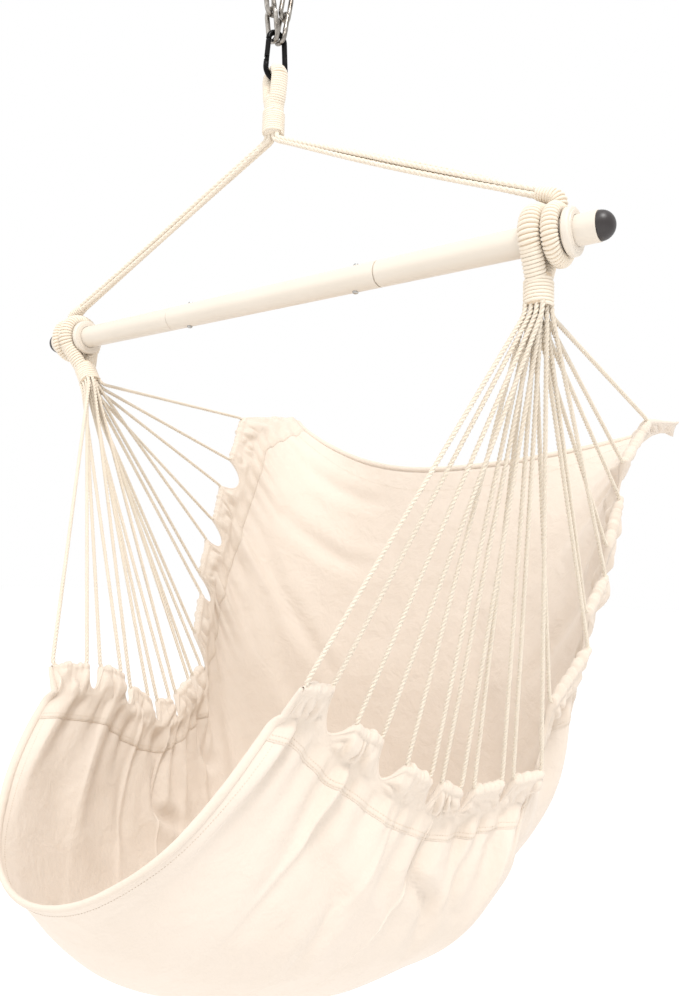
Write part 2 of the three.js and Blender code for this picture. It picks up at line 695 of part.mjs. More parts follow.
function carabiner() {
  const { bottom, top } = hookOutline(hookBendSteps);
  const topOfLeg = top[top.length - 1];
  const footOfLeg = bottom[0];
  const down = footOfLeg.clone().sub(topOfLeg).normalize();
  const hinge = topOfLeg.clone().addScaledVector(down, hingeBelowBend + tongueReach);
  const nose = hinge.clone().addScaledVector(down, gateLength);
  const upperFace = hinge.clone().addScaledVector(down, -tongueReach);
  const lowerFace = nose.clone().addScaledVector(down, tongueReach);
  const path = [lowerFace, ...bottom, ...top, upperFace].map((p) => inHookPlane(p.x, p.y));
  const wire = tubeAlong(path, hookWireHalf, 8);

  // Local frame of the gate: x from hinge to nose, y outwards, z square to the hook
  const along = inHookPlane(nose.x, nose.y).sub(inHookPlane(hinge.x, hinge.y)).normalize();
  const side = vec(-Math.sin(hangAzimuth), Math.cos(hangAzimuth), 0);
  const outwards = side.clone().cross(along);
  const place = new THREE.Matrix4().makeBasis(along, outwards, side);
  place.setPosition(inHookPlane(hinge.x, hinge.y));
  const box = (fromX, toX, fromY, toY, halfZ) => {
    const geometry = new THREE.BoxGeometry(toX - fromX, toY - fromY, halfZ * 2);
    geometry.translate((fromX + toX) / 2, (fromY + toY) / 2, 0);
    return geometry.applyMatrix4(place);
  };
  const pinAt = (x, radius, halfLength) =>
    rod(radius, vec(x, 0, -halfLength), vec(x, 0, halfLength), 12).applyMatrix4(place);
  const halfTongue = tongueThickness / 2;
  const pinRadius = hookPinDiameter / 2;
  const hingeTongue = joined(
    box(-tongueReach - overrun, 0, -tongueWidth / 2, tongueWidth / 2, halfTongue),
    pinAt(0, tongueWidth / 2, halfTongue),
  );
  const noseTongue = box(
    gateLength - tongueWidth / 2,
    gateLength + tongueReach + overrun,
    -tongueWidth / 2,
    tongueWidth / 2,
    halfTongue,
  );
  const body = joined(wire, hingeTongue, noseTongue, pinAt(gateLength, pinRadius, nosePinLength / 2));
  const bored = cut(body, pinAt(0, pinRadius + pinRunningGap, hookWire));
  addPiece('carabiner_body', bored, blackSteel);

  const gateRadius = gateWire / 2;
  const backEnd = Math.sqrt(tongueReach ** 2 - gateRadius ** 2) - pinRunningGap;
  const frontEnd = gateLength + tongueReach - seatGap * 3;
  const halfSlot = halfTongue + slotSideGap;
  const slotDepth = tongueWidth / 2 + seatGap * 4;
  const bar = rod(gateRadius, vec(-backEnd, 0, 0), vec(frontEnd, 0, 0), 14).applyMatrix4(place);
  const hingeSlot = box(-backEnd - overrun, slotDepth, -gateWire, gateWire, halfSlot);
  const noseSlot = box(gateLength - slotDepth - seatGap, frontEnd + overrun, -gateWire, gateWire, halfSlot);
  const pocket = box(
    gateLength - pinRadius - slotSideGap * 2,
    gateLength + pinRadius + slotSideGap * 2,
    -pinRadius - slotSideGap,
    gateWire,
    gateWire,
  );
  const springHole = rod(
    gateSpringDiameter / 2 + slotSideGap,
    vec(0, 0, 0),
    vec(tongueWidth / 2 + gateSpringLength + seatGap * 3, 0, 0),
    12,
  ).applyMatrix4(place);
  const pinHole = pinAt(0, pinRadius + seatGap / 3, gateWire);
  addPiece('carabiner_gate', cut(bar, hingeSlot, noseSlot, pocket, springHole, pinHole), blackSteel);
  addPiece('carabiner_gate_pin', pinAt(0, pinRadius, gateRadius - seatGap), blackSteel);

  const coil = [];
  const coilStepsPerTurn = 7;
  const coilSteps = gateSpringTurns * coilStepsPerTurn;
  for (let i = 0; i <= coilSteps; i += 1) {
    const turn = (i / coilStepsPerTurn) * 2 * Math.PI;
    const radius = (gateSpringDiameter - gateSpringWire) / 2;
    const start = tongueWidth / 2 + seatGap + gateSpringWire / 2;
    const x = start + ((gateSpringLength - gateSpringWire) * i) / coilSteps;
    coil.push(vec(x, radius * Math.cos(turn), radius * Math.sin(turn)).applyMatrix4(place));
  }
  addPiece('carabiner_gate_spring', tubeAlong(coil, gateSpringWire / 2, 4), springSteel);
}

// Chain: a link is a stadium of round wire, closed on itself
function linkPoint(t) {
  const bend = (linkWidth - linkWire) / 2;
  const straight = linkPitch - 2 * bend;
  const arc = Math.PI * bend;
  let s = t * 2 * (straight + arc);
  if (s < arc) {
    return new THREE.Vector2(-bend * Math.cos(s / bend), bend - bend * Math.sin(s / bend));
  }
  s -= arc;
  if (s < straight) {
    return new THREE.Vector2(bend, bend + s);
  }
  s -= straight;
  if (s < arc) {
    return new THREE.Vector2(bend * Math.cos(s / bend), bend + straight + bend * Math.sin(s / bend));
  }
  return new THREE.Vector2(-bend, bend + straight - (s - arc));
}

class Link extends THREE.Curve {
  constructor(foot, azimuth, lean) {
    super();
    this.foot = foot;
    this.across = vec(Math.cos(azimuth), Math.sin(azimuth), 0);
    this.along = lean;
    this.across.addScaledVector(lean, -this.across.dot(lean)).normalize();
  }

  getPoint(t, target = vec()) {
    const p = linkPoint(t % 1);
    return target.copy(this.foot).addScaledVector(this.across, p.x).addScaledVector(this.along, p.y);
  }
}

// Closely set points on the straight runs between the points of a route
function between(points, perRun) {
  const dense = [];
  for (let i = 0; i < points.length - 1; i += 1) {
    for (let j = 0; j < perRun; j += 1) {
      dense.push(points[i].clone().lerp(points[i + 1], j / perRun));
    }
  }
  return dense;
}

// The greatest step along a direction that keeps moving points a given distance from fixed ones
function stepUntilSeated(moving, fixed, direction, distance, most) {
  const clear = (step) => {
    const shift = direction.clone().multiplyScalar(step);
    return moving.every((m) => fixed.every((f) => m.clone().add(shift).distanceTo(f) >= distance));
  };
  let low = 0;
  let high = most;
  for (let i = 0; i < 18; i += 1) {
    const middle = (low + high) / 2;
    if (clear(middle)) {
      low = middle;
    } else {
      high = middle;
    }
  }
  return low;
}

function chainLinks() {
  const { bottom, top } = hookOutline(hookBendSteps);
  const hookPoints = between([...bottom, ...top, bottom[0]].map((p) => inHookPlane(p.x, p.y)), 40);
  const steps = 22;
  const tops = [];
  for (const [index, name] of [[0, 'left'], [1, 'right']]) {
    const side = index === 0 ? -1 : 1;
    const lean = inHookPlane(side * Math.sin(strandTilt), Math.cos(strandTilt)).sub(hookBase);
    const foot = inHookPlane(side * strandSpread, bendSpacing - hookTopBend * 0.6);
    const lower = new Link(foot, hangAzimuth + lowerLinkTurns[index], lean);
    const seated = (hookWire + linkWire) / 2 + seatGap;
    const wireLine = between(lower.getSpacedPoints(steps), 8);
    const rise = stepUntilSeated(wireLine, hookPoints, lean, seated, hookTopBend * 2);
    lower.foot.addScaledVector(lean, rise);
    const lowerWire = new THREE.TubeGeometry(lower, steps, linkWire / 2, 8, true);
    addPiece('chain_link_' + name + '_lower', lowerWire, chainSteel);
    const upper = new Link(lower.foot.clone(), hangAzimuth + upperLinkTurn, lean);
    upper.foot.addScaledVector(lean, linkPitch - linkWire * 2);
    const fixed = between(lower.getSpacedPoints(steps), 8);
    const moving = between(upper.getSpacedPoints(steps), 8);
    const up = stepUntilSeated(moving, fixed, lean, linkWire + seatGap, linkWire * 2);
    upper.foot.addScaledVector(lean, up);
    const upperWire = new THREE.TubeGeometry(upper, steps, linkWire / 2, 8, true);
    addPiece('chain_link_' + name + '_upper', upperWire, chainSteel);
    tops.push(upper.foot.clone().addScaledVector(lean, linkPitch - linkWire / 2));
  }
  return (tops[0].z + tops[1].z) / 2;
}

// Side edge of the cloth. side is 1 on the right and -1 on the left.
function edgePoint([x, y, dropRight, dropLeft], side) {
  return vec(side * x * seatHalfWidth, y * seatReach, -(side > 0 ? dropRight : dropLeft) * seatDrop);
}

const middleLine = new THREE.CatmullRomCurve3(
  middleLineShares.map(([y, drop]) => vec(0, y * seatReach, -drop * seatDrop)),
);

// Rows of the cloth, front to back: three at each sleeve, one in the long crease between seat and back, and
// two behind the last sleeve. Each has its place on the cord line, its share of the way back, and whether it
// lies in a sleeve.
const rowsPerSleeve = 3;
const creaseTab = 5; // the last sleeve of the seat, counted from 0; the next one is the first of the back
function clothRows(side) {
  const corners = cordCornerShares.map((shares) => edgePoint(shares, side));
  const ear = edgePoint(earShares, side);
  const rows = [];
  for (let tab = 0; tab < corners.length / 2; tab += 1) {
    const [, inBelow, from, to, outBelow] = cordRoute(tab, side);
    const span = from.distanceTo(to);
    const start = (bendReach(inBelow, from, to, cordCornerBend) + mouthGap) / span;
    const end = 1 - (bendReach(from, to, outBelow, cordCornerBend) + mouthGap) / span;
    for (let i = 0; i < rowsPerSleeve; i += 1) {
      const share = start + ((end - start) * i) / (rowsPerSleeve - 1);
      rows.push({ point: from.clone().lerp(to, share), tab, gathered: i === 1 ? 0 : 1 });
    }
    if (tab === creaseTab) {
      rows.push({ point: to.clone().lerp(corners[tab * 2 + 2], 0.5), tab: -1, gathered: 0.5 });
    }
  }
  const last = corners[corners.length - 1];
  rows.push({ point: last.clone().lerp(ear, 0.45), tab: -1, gathered: 0.5 });
  rows.push({ point: ear, tab: -1, gathered: 0 });
  let length = 0;
  rows.forEach((row, i) => {
    length += i === 0 ? 0 : row.point.distanceTo(rows[i - 1].point);
    row.travelled = length;
  });
  rows.forEach((row) => {
    row.way = row.travelled / length;
  });
  return rows;
}

const rowSets = { right: clothRows(1), left: clothRows(-1) };

function valueAlong(shares, way) {
  const place = way * (shares.length - 1);
  const before = Math.min(Math.floor(place), shares.length - 2);
  return shares[before] + (shares[before + 1] - shares[before]) * (place - before);
}

// A point of the cloth's middle surface. across runs from -1 on the left seam to 1 on the right one.
function clothPoint(rowIndex, across) {
  const right = rowSets.right[rowIndex];
  const left = rowSets.left[rowIndex];
  const way = (right.way + left.way) / 2;
  const middle = middleLine.getPointAt(way);
  const row = across < 0 ? left : right;
  const seam = seamPoint(row, middle);
  const u = Math.abs(across);
  const fullness = valueAlong(fullnessShares, way);
  const spread = (1 - fullness) * u + fullness * Math.sin((u * Math.PI) / 2);
  const rise = (1 - fullness) * u ** 2 + fullness * (1 - Math.cos((u * Math.PI) / 2));
  return vec(
    middle.x + (seam.x - middle.x) * spread,
    middle.y + (seam.y - middle.y) * rise,
    middle.z + (seam.z - middle.z) * rise,
  );
}

// The seam at a sleeve's foot: a tab's height below the cord, between the cords' pull and the middle line
function seamPoint(row, middle) {
  const pull = row.point.clone().sub(neckOf(Math.sign(row.point.x)).bottom).normalize();
  const towards = middle.clone().sub(row.point).normalize();
  return row.point.clone().addScaledVector(pull.lerp(towards, seamTurn).normalize(), tabHeight);
}

// The cloth with its folds: shallow between two gathers, dying away from the seam
function foldedPoint(rowIndex, across) {
  const rows = rowSets.right;
  const before = Math.max(rowIndex - 1, 0);
  const after = Math.min(rowIndex + 1, rows.length - 1);
  const step = 1 / clothColumns;
  const here = clothPoint(rowIndex, across);
  const alongRow = clothPoint(after, across).sub(clothPoint(before, across));
  const onRight = clothPoint(rowIndex, Math.min(across + step, 1));
  const acrossRow = onRight.sub(clothPoint(rowIndex, Math.max(across - step, -1)));
  const normal = alongRow.cross(acrossRow).normalize();
  const u = Math.abs(across);
  const decay = u ** 3 * (1 - u ** 12);
  const fold = (rows[rowIndex].gathered - 0.5) * foldDepth * decay;
  return { point: here.addScaledVector(normal, fold), normal };
}

function seatCloth() {
  const half = clothThickness / 2;
  const rings = rowSets.right.map((row, rowIndex) => {
    const upper = [];
    const lower = [];
    for (let column = 0; column <= clothColumns; column += 1) {
      const { point, normal } = foldedPoint(rowIndex, (2 * column) / clothColumns - 1);
      upper.push(point.clone().addScaledVector(normal, half));
      lower.push(point.clone().addScaledVector(normal, -half));
    }
    return [...upper, ...lower.reverse()];
  });
  addPiece('seat_cloth', loft(rings), cloth);
}

// Sewn sleeves along the side edge: hollow, round their cord at the top and narrow at the seam, with gathers
function cordSleeves() {
  for (const [name, side] of [['left', -1], ['right', 1]]) {
    const rows = rowSets[name];
    const sleeves = [];
    for (let tab = 0; tab < cordCornerShares.length / 2; tab += 1) {
      const stations = rows.map((row, index) => ({ row, index })).filter(({ row }) => row.tab === tab);
      const first = stations[0].index;
      const last = stations[stations.length - 1].index;
      const seams = [first, last].map((index) => foldedPoint(index, side));
      const ends = [rows[first].point, rows[last].point];
      const along = ends[1].clone().sub(ends[0]).normalize();
      const section = (share, wall, swell) => {
        const seam = seams[0].point.clone().lerp(seams[1].point, share);
        const cord = ends[0].clone().lerp(ends[1], share);
        return sleeveRing(seam, cord, along, wall, swell);
      };
      const outer = [];
      const rings = 5;
      for (let i = 0; i < rings; i += 1) {
        outer.push(section(i / (rings - 1), 0, i % 2 === 0 ? 0 : ruffle));
      }
      sleeves.push(loft([...outer, section(1, sleeveWall, 0), section(0, sleeveWall, 0)], true));
    }
    addPiece(name + '_cord_sleeves', joined(edgeBand(rows, side), ...sleeves), cloth);
  }
}

// The doubled band along the whole edge that the sleeves are cut from
function edgeBand(rows, side) {
  const foot = seatGap * 4;
  const halfFoot = clothThickness / 2;
  const rings = rows.map(({ point: cord }, index) => {
    const { point: seam, normal } = foldedPoint(index, side);
    const up = cord.clone().sub(seam).normalize();
    const before = rows[Math.max(index - 1, 0)].point;
    const after = rows[Math.min(index + 1, rows.length - 1)].point;
    const flat = squareTo(up, after.clone().sub(before));
    const foldSide = Math.sign(flat.dot(normal));
    const corner = (out, high) => seam.clone().addScaledVector(flat, out).addScaledVector(up, high);
    return [
      seam.clone().addScaledVector(normal, -halfFoot * foldSide).addScaledVector(up, foot),
      corner(-sleeveBaseHalf, foot + bandHeight),
      corner(sleeveBaseHalf, foot + bandHeight),
      seam.clone().addScaledVector(normal, halfFoot * foldSide).addScaledVector(up, foot),
    ];
  });
  return loft(rings);
}

function squareTo(up, along) {
  return up.clone().cross(along).normalize();
}

// One section of a sleeve. It stands on the cloth's edge and its crown passes just over the cord.
function sleeveRing(seam, cord, along, wall, swell) {
  const up = cord.clone().sub(seam);
  const height = up.length();
  up.normalize();
  const flat = squareTo(up, along);
  const slant = up.clone().cross(along).length(); // under 1 where the sleeve isn't square to its cord
  const crown = sleeveCrown + swell;
  const base = sleeveBaseHalf;
  const top = height + (cordDiameter / 2 + seatGap * 3 + sleeveWall) / slant;
  const foot = seatGap + bandHeight / 2;
  const under = (depth) => top - depth / slant;
  const outline = [
    [-base + wall, foot + wall],
    [-crown + wall, under(crown * 1.3)],
    [-crown * 0.7 + wall * 0.6, under(wall + crown * 0.3)],
    [0, under(wall)],
    [crown * 0.7 - wall * 0.6, under(wall + crown * 0.3)],
    [crown - wall, under(crown * 1.3)],
    [base - wall, foot + wall],
  ];
  return outline.map(([out, high]) => seam.clone().addScaledVector(flat, out).addScaledVector(up, high));
}

// Rolled hems along the front and the back edge, just clear of the cloth's edge
function hems() {
  const lastRow = rowSets.right.length - 1;
  for (const [name, row, next, diameter] of [
    ['front_hem', 0, 1, frontHemDiameter],
    ['back_hem', lastRow, lastRow - 1, backHemDiameter],
  ]) {
    const points = [];
    for (let column = 0; column <= clothColumns; column += 1) {
      const across = (2 * column) / clothColumns - 1;
      const edge = foldedPoint(row, across).point;
      const outwards = edge.clone().sub(clothPoint(next, across)).normalize();
      points.push(edge.addScaledVector(outwards, diameter / 2 + seatGap * 4));
    }
    addPiece(name, tubeAlong(points, diameter / 2, 8), cloth);
  }
}

// Cords: each one runs down from the neck, along one sleeve and back up. Below the neck their ends stand in
// rows, front to back in the order of the corners that they go to.
function cordEnd(order, side) {
  const { bottom, along, across } = neckOf(side);
  const perRow = 4;
  const row = Math.floor(order / perRow) - 2;
  const outwards = side < 0 && row > 0 ? -1 : 1;
  const place = outwards * ((order % perRow) - (perRow - 1) / 2);
  const stagger = row % 2 === 0 ? 0 : row / 2;
  const start = bottom
    .clone()
    .addScaledVector(along, seatGap)
    .addScaledVector(across, side * (place + stagger) * cordPitch)
    .add(vec(0, row * cordPitch * Math.sqrt(3) * 0.5, 0));
  return [start, start.clone().addScaledVector(along, cordStart)];
}

function cordRoute(tab, side) {
  const [inStart, inBelow] = cordEnd(tab * 2, side);
  const [outStart, outBelow] = cordEnd(tab * 2 + 1, side);
  const from = edgePoint(cordCornerShares[tab * 2], side);
  const to = edgePoint(cordCornerShares[tab * 2 + 1], side);
  return [inStart, inBelow, from, to, outBelow, outStart];
}

function cords() {
  for (const [name, side] of [['left', -1], ['right', 1]]) {
    for (let tab = 0; tab < cordCornerShares.length / 2; tab += 1) {
      const bends = [cordNeckBend, cordCornerBend, cordCornerBend, cordNeckBend];
      const route = rounded(cordRoute(tab, side), bends, 1);
      const number = String(tab + 1).padStart(2, '0');
      addPiece(name + '_cord_' + number, tubeAlong(route, cordDiameter / 2, 6), rope);
    }
  }
}

barTubes();
stopRings();
endCaps();
snapButtons();
seatLoops();
hangerLoops();
hangerRopes();
hangerEye();
carabiner();
const mountHeight = chainLinks();
seatCloth();
cordSleeves();
hems();
cords();
hung.position.z = -mountHeight;

export default chair;
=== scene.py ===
# %% [markdown]
# # A hanging hammock chair
# The chair is a cotton sheet that hangs by twenty cords from a steel bar. Ropes carry the bar from one snap
# hook on a doubled chain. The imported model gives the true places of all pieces, so this lesson loads it
# first and then dresses each piece with the form and the finish that the real one has.

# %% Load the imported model
import math

import bmesh
import bpy
import numpy as np
from mathutils import Matrix, Vector, noise


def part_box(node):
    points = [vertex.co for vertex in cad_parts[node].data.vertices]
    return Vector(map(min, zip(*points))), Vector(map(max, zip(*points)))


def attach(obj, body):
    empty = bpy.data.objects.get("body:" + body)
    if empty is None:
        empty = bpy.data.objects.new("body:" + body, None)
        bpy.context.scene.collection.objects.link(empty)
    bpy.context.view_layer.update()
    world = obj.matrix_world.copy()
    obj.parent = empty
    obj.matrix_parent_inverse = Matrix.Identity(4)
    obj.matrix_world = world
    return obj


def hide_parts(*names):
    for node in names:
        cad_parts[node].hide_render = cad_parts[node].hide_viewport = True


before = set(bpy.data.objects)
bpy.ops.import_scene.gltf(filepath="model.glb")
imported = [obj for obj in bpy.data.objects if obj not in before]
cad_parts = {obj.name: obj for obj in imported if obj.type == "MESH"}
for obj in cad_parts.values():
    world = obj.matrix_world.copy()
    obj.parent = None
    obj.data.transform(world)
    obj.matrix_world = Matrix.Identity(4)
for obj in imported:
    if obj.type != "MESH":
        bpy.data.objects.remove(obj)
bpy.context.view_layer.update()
bar_low, bar_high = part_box("bar_centre_tube")
BAR_Z = (bar_low.z + bar_high.z) / 2
print("bar height", round(BAR_Z, 4))

# %% [markdown]
# ## Camera
# The picture was taken from the right, in front of the chair and a little below the bar, with the camera
# tilted up by five degrees and turned by two. The bar's rings, joints and hook settled those numbers. A
# lens of 31 mm on a 36 mm frame covers the picture's longer side, so neither shift nor depth of field is
# needed.

# %% Camera
MM = 0.001


def at(x, y, z):
    """A point given in millimetres from the middle of the bar."""
    return Vector((x * MM, y * MM, BAR_Z + z * MM))


def in_scene(name, data):
    """A new object in the scene's collection."""
    made = bpy.data.objects.new(name, data)
    bpy.context.scene.collection.objects.link(made)
    return made


CAMERA_PLACE, LENS, SENSOR = (805.1, -896.6, -385), 31.15, 36
TO_RIGHT, TO_TOP, TO_BACK = (0.8041, 0.5938, 0.0298), (0.0268, -0.0863, 0.9959), (0.5939, -0.8, -0.0853)
camera = in_scene("camera", bpy.data.cameras.new("camera"))
turn = Matrix((TO_RIGHT, TO_TOP, TO_BACK)).transposed().to_quaternion().normalized()
camera.matrix_world = Matrix.Translation(at(*CAMERA_PLACE)) @ turn.to_matrix().to_4x4()
camera.data.lens, camera.data.sensor_width, camera.data.clip_start = LENS, SENSOR, 0.02
bpy.context.scene.camera = camera
print("camera at", [round(x, 3) for x in camera.matrix_world.translation])

# %% [markdown]
# ## Lines of points
# Most shapes here are rows of points in millimetres. These few functions measure such a row, read values
# along it, smooth it, and give the directions along it a length of one.

# %% Rows of points
def unit(v):
    return v / np.linalg.norm(v)


def unit_rows(values):
    return values / np.maximum(np.linalg.norm(values, axis=-1), 1e-9)[..., None]


def travelled(points):
    """How far along its line each point lies."""
    return np.concatenate([[0], np.cumsum(np.linalg.norm(np.diff(points, axis=0), axis=1))])


def read_at(marks, known, values):
    """Vectors given at known places of a line, read at other places."""
    return np.stack([np.interp(marks, known, values[:, k]) for k in range(values.shape[1])], -1)


def smoothed(values, times):
    for _ in range(times):
        inner = (values[:-2] + 2 * values[1:-1] + values[2:]) / 4
        values = np.concatenate([values[:1], inner, values[-1:]])
    return values


def bent(start, corner, end, steps):
    """A quadratic curve from start to end, drawn towards a corner."""
    return [start * (1 - t) ** 2 + corner * 2 * t * (1 - t) + end * t * t for t in np.linspace(0, 1, steps)]


def even_points(route, step):
    """Points along a route in millimetres, about a given step apart, as vectors in metres."""
    route = np.array(route)
    lengths = travelled(route)
    marks = np.linspace(0, lengths[-1], max(2, round(lengths[-1] / step)) + 1)
    return [at(*p) for p in read_at(marks, lengths, route)]


print("a line to (3, 4) is", travelled(np.array([(0, 0), (3, 4)]))[-1], "long")

# %% [markdown]
# ## Where the cords run
# Every cord goes down from the neck under a seat loop, along one sewn sleeve of the cloth and back up. The
# corners below are the same ones that the solids are made from, as shares of the seat's half width, reach
# and drop. The cloth takes its shape from the same corners, so they come before everything else.

# %% Corners of the cords and places of the necks
HALF_WIDTH, REACH, DROP = 420, 530, 1000
CORD_CORNERS = [
    (0.526, -0.311, 0.510, 0.527), (0.517, -0.206, 0.517, 0.532), (0.543, -0.145, 0.561, 0.537),
    (0.557, -0.06, 0.584, 0.552), (0.595, 0, 0.615, 0.576), (0.612, 0.085, 0.638, 0.601),
    (0.621, 0.125, 0.646, 0.604), (0.64, 0.192, 0.661, 0.608), (0.66, 0.228, 0.66, 0.6),
    (0.702, 0.315, 0.656, 0.583), (0.721, 0.345, 0.654, 0.577), (0.774, 0.423, 0.648, 0.565),
    (0.805, 0.413, 0.558, 0.509), (0.888, 0.502, 0.48, 0.438), (0.886, 0.489, 0.436, 0.401),
    (0.924, 0.547, 0.381, 0.335), (0.919, 0.572, 0.343, 0.296), (0.94, 0.621, 0.269, 0.225),
    (0.936, 0.66, 0.216, 0.17), (0.983, 0.76, 0.146, 0.075),
]
FREE_CORNER = (1, 0.994, 0.13, 0.052)
NECK_X, NECK_DROP, LEAN_START, LEFT_LEAN = {1: 412, -1: 425.4}, 79, 26, 34
SIDES = {"left": -1, "right": 1}


def edge_corner(shares, side):
    x, y, drop_right, drop_left = shares
    return np.array([side * x * HALF_WIDTH, y * REACH, -(drop_right if side > 0 else drop_left) * DROP])


def neck(side):
    lean = 0 if side > 0 else LEFT_LEAN
    top = np.array([side * NECK_X[side], 0, -LEAN_START])
    bottom = np.array([side * NECK_X[side] + lean, 0, -NECK_DROP])
    along = unit(bottom - top)
    return bottom, along, np.array([-along[2], 0, along[0]])


print("a neck is", round(float(NECK_DROP - LEAN_START)), "mm below the foot of its loop")

# %% [markdown]
# ### Routes of the cords
# Twenty cord ends share each neck, packed in close rows, as a bundle settles when it is bound. Every route
# is a few plain corners. A bend is a short curve cut into a corner, so that a cord turns as a real one
# does.

# %% Routes of the cords
CORD, CORD_PITCH, STRAIGHT_END = 6, 6.8, 9
CORD_BENDS, SLEEVE_MARGIN = (13, 7, 7, 13), 4.5


def cord_end(order, side):
    bottom, along, across = neck(side)
    row = order // 4 - 2
    place = (order % 4 - 1.5) * (-1 if side < 0 and row > 0 else 1)
    stagger = 0 if row % 2 == 0 else row / 2
    start = bottom + along * 0.3 + across * side * (place + stagger) * CORD_PITCH
    start[1] += row * CORD_PITCH * math.sqrt(3) / 2
    return start, start + along * STRAIGHT_END


def cord_route(tab, side):
    in_start, in_below = cord_end(tab * 2, side)
    out_start, out_below = cord_end(tab * 2 + 1, side)
    corners = [edge_corner(CORD_CORNERS[tab * 2 + i], side) for i in (0, 1)]
    return [in_start, in_below, *corners, out_below, out_start]


def bend_reach(before, corner, after, radius):
    into, out = corner - before, after - corner
    turn_angle = math.acos(float(np.clip(unit(into) @ unit(out), -1, 1)))
    longest = min(np.linalg.norm(into) * 0.95, np.linalg.norm(out) / 2)
    return min(radius * math.tan(turn_angle / 2), longest)


def rounded(points, bends, steps):
    route = [points[0]]
    for before, corner, after, bend in zip(points, points[1:], points[2:], bends):
        reach = bend_reach(before, corner, after, bend)
        route += bent(corner - unit(corner - before) * reach, corner, corner + unit(after - corner) * reach,
                      steps + 1)
    return route + [points[-1]]


def sleeve_span(tab, side):
    """The part of one sleeve's cord that lies straight, as millimetres from the sleeve's first corner."""
    _, below_in, start, end, below_out, _ = cord_route(tab, side)
    span = np.linalg.norm(end - start)
    enter = bend_reach(below_in, start, end, CORD_BENDS[1]) + SLEEVE_MARGIN
    leave = span - bend_reach(start, end, below_out, CORD_BENDS[2]) - SLEEVE_MARGIN
    return start, end, span, enter, leave


print("cords", len(CORD_CORNERS) // 2, "on each side")

# %% [markdown]
# ## Turned pieces
# Tubes, caps, rings and buttons are round about one axis. Spinning a profile gives each of them in one
# step, with its walls and chamfers. Each finished piece keeps its object at the origin, so patterns stay
# put, and one helper gives every piece its finish and its body and hides the solids that it stands for.

# %% Piece helpers
def mesh_of(holder, name):
    """The mesh that a curve or a piece with modifiers comes to."""
    bpy.context.view_layer.update()
    mesh = bpy.data.meshes.new_from_object(holder.evaluated_get(bpy.context.evaluated_depsgraph_get()))
    mesh.name = name
    return mesh


def from_bmesh(name, bm, sharp=None, merge=1e-6):
    if merge:
        bmesh.ops.remove_doubles(bm, verts=bm.verts, dist=merge)
    bmesh.ops.recalc_face_normals(bm, faces=bm.faces)
    mesh = bpy.data.meshes.new(name)
    bm.to_mesh(mesh)
    bm.free()
    mesh.shade_smooth()
    if sharp:
        mesh.set_sharp_from_angle(angle=math.radians(sharp))
    return in_scene(name, mesh)


def dress(piece, material, body, slot_name, *nodes):
    piece.data.materials.clear()
    piece.data.materials.append(material)
    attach(piece, body)
    if nodes:
        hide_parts(*nodes)
    return piece


def turned(name, profile, segments=64, sharp=35, axis="X", centre=(0, 0, 0)):
    """A profile of (radius, along) pairs in millimetres, spun about the bar's axis or an upright one."""
    bm = bmesh.new()
    origin = at(*centre)
    if axis == "X":
        points = [origin + Vector((a * MM, 0, r * MM)) for r, a in profile]
    else:
        points = [origin + Vector((r * MM, 0, a * MM)) for r, a in profile]
    verts = [bm.verts.new(p) for p in points]
    edges = [bm.edges.new(pair) for pair in zip(verts, verts[1:])]
    if profile[0] == profile[-1]:
        bmesh.ops.remove_doubles(bm, verts=bm.verts, dist=1e-7)
    spin_axis = (1, 0, 0) if axis == "X" else (0, 0, 1)
    bmesh.ops.spin(bm, geom=bm.verts[:] + bm.edges[:], cent=origin, axis=spin_axis, dvec=(0, 0, 0),
                   angle=2 * math.pi, steps=segments, use_merge=True)
    return from_bmesh(name, bm, sharp)


print("the frame has", len(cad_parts), "solids to dress")

# %% [markdown]
# ## Finishes
# Shader maths reads best as plain expressions, so one small class wraps a socket and turns operators into
# Math nodes. Colours are mixed with Mix nodes. Every finish gets its colour variation, its roughness and
# its small relief from noise and waves at the real scale.

# %% Socket maths
class Value:
    def __init__(self, finish, socket):
        self.finish, self.socket = finish, socket

    def maths(self, operation, *others):
        return self.finish.node("ShaderNodeMath", {"operation": operation}, [self, *others])

    def __add__(self, other):
        return self.maths("ADD", other)

    def __sub__(self, other):
        return self.maths("SUBTRACT", other)

    def __mul__(self, other):
        return self.maths("MULTIPLY", other)

    def __rsub__(self, other):
        return self.finish.node("ShaderNodeMath", {"operation": "SUBTRACT"}, [other, self])

    __radd__, __rmul__ = __add__, __mul__

    def wave(self):
        return self.maths("SINE")

    def clamped(self, low=0, high=1):
        return self.maths("MAXIMUM", low).maths("MINIMUM", high)


def linear(red, green, blue):
    """A screen colour from 0 to 255 as the linear colour that shaders use."""
    parts = [c / 255 for c in (red, green, blue)]
    return (*[c / 12.92 if c <= 0.04045 else ((c + 0.055) / 1.055) ** 2.4 for c in parts], 1)


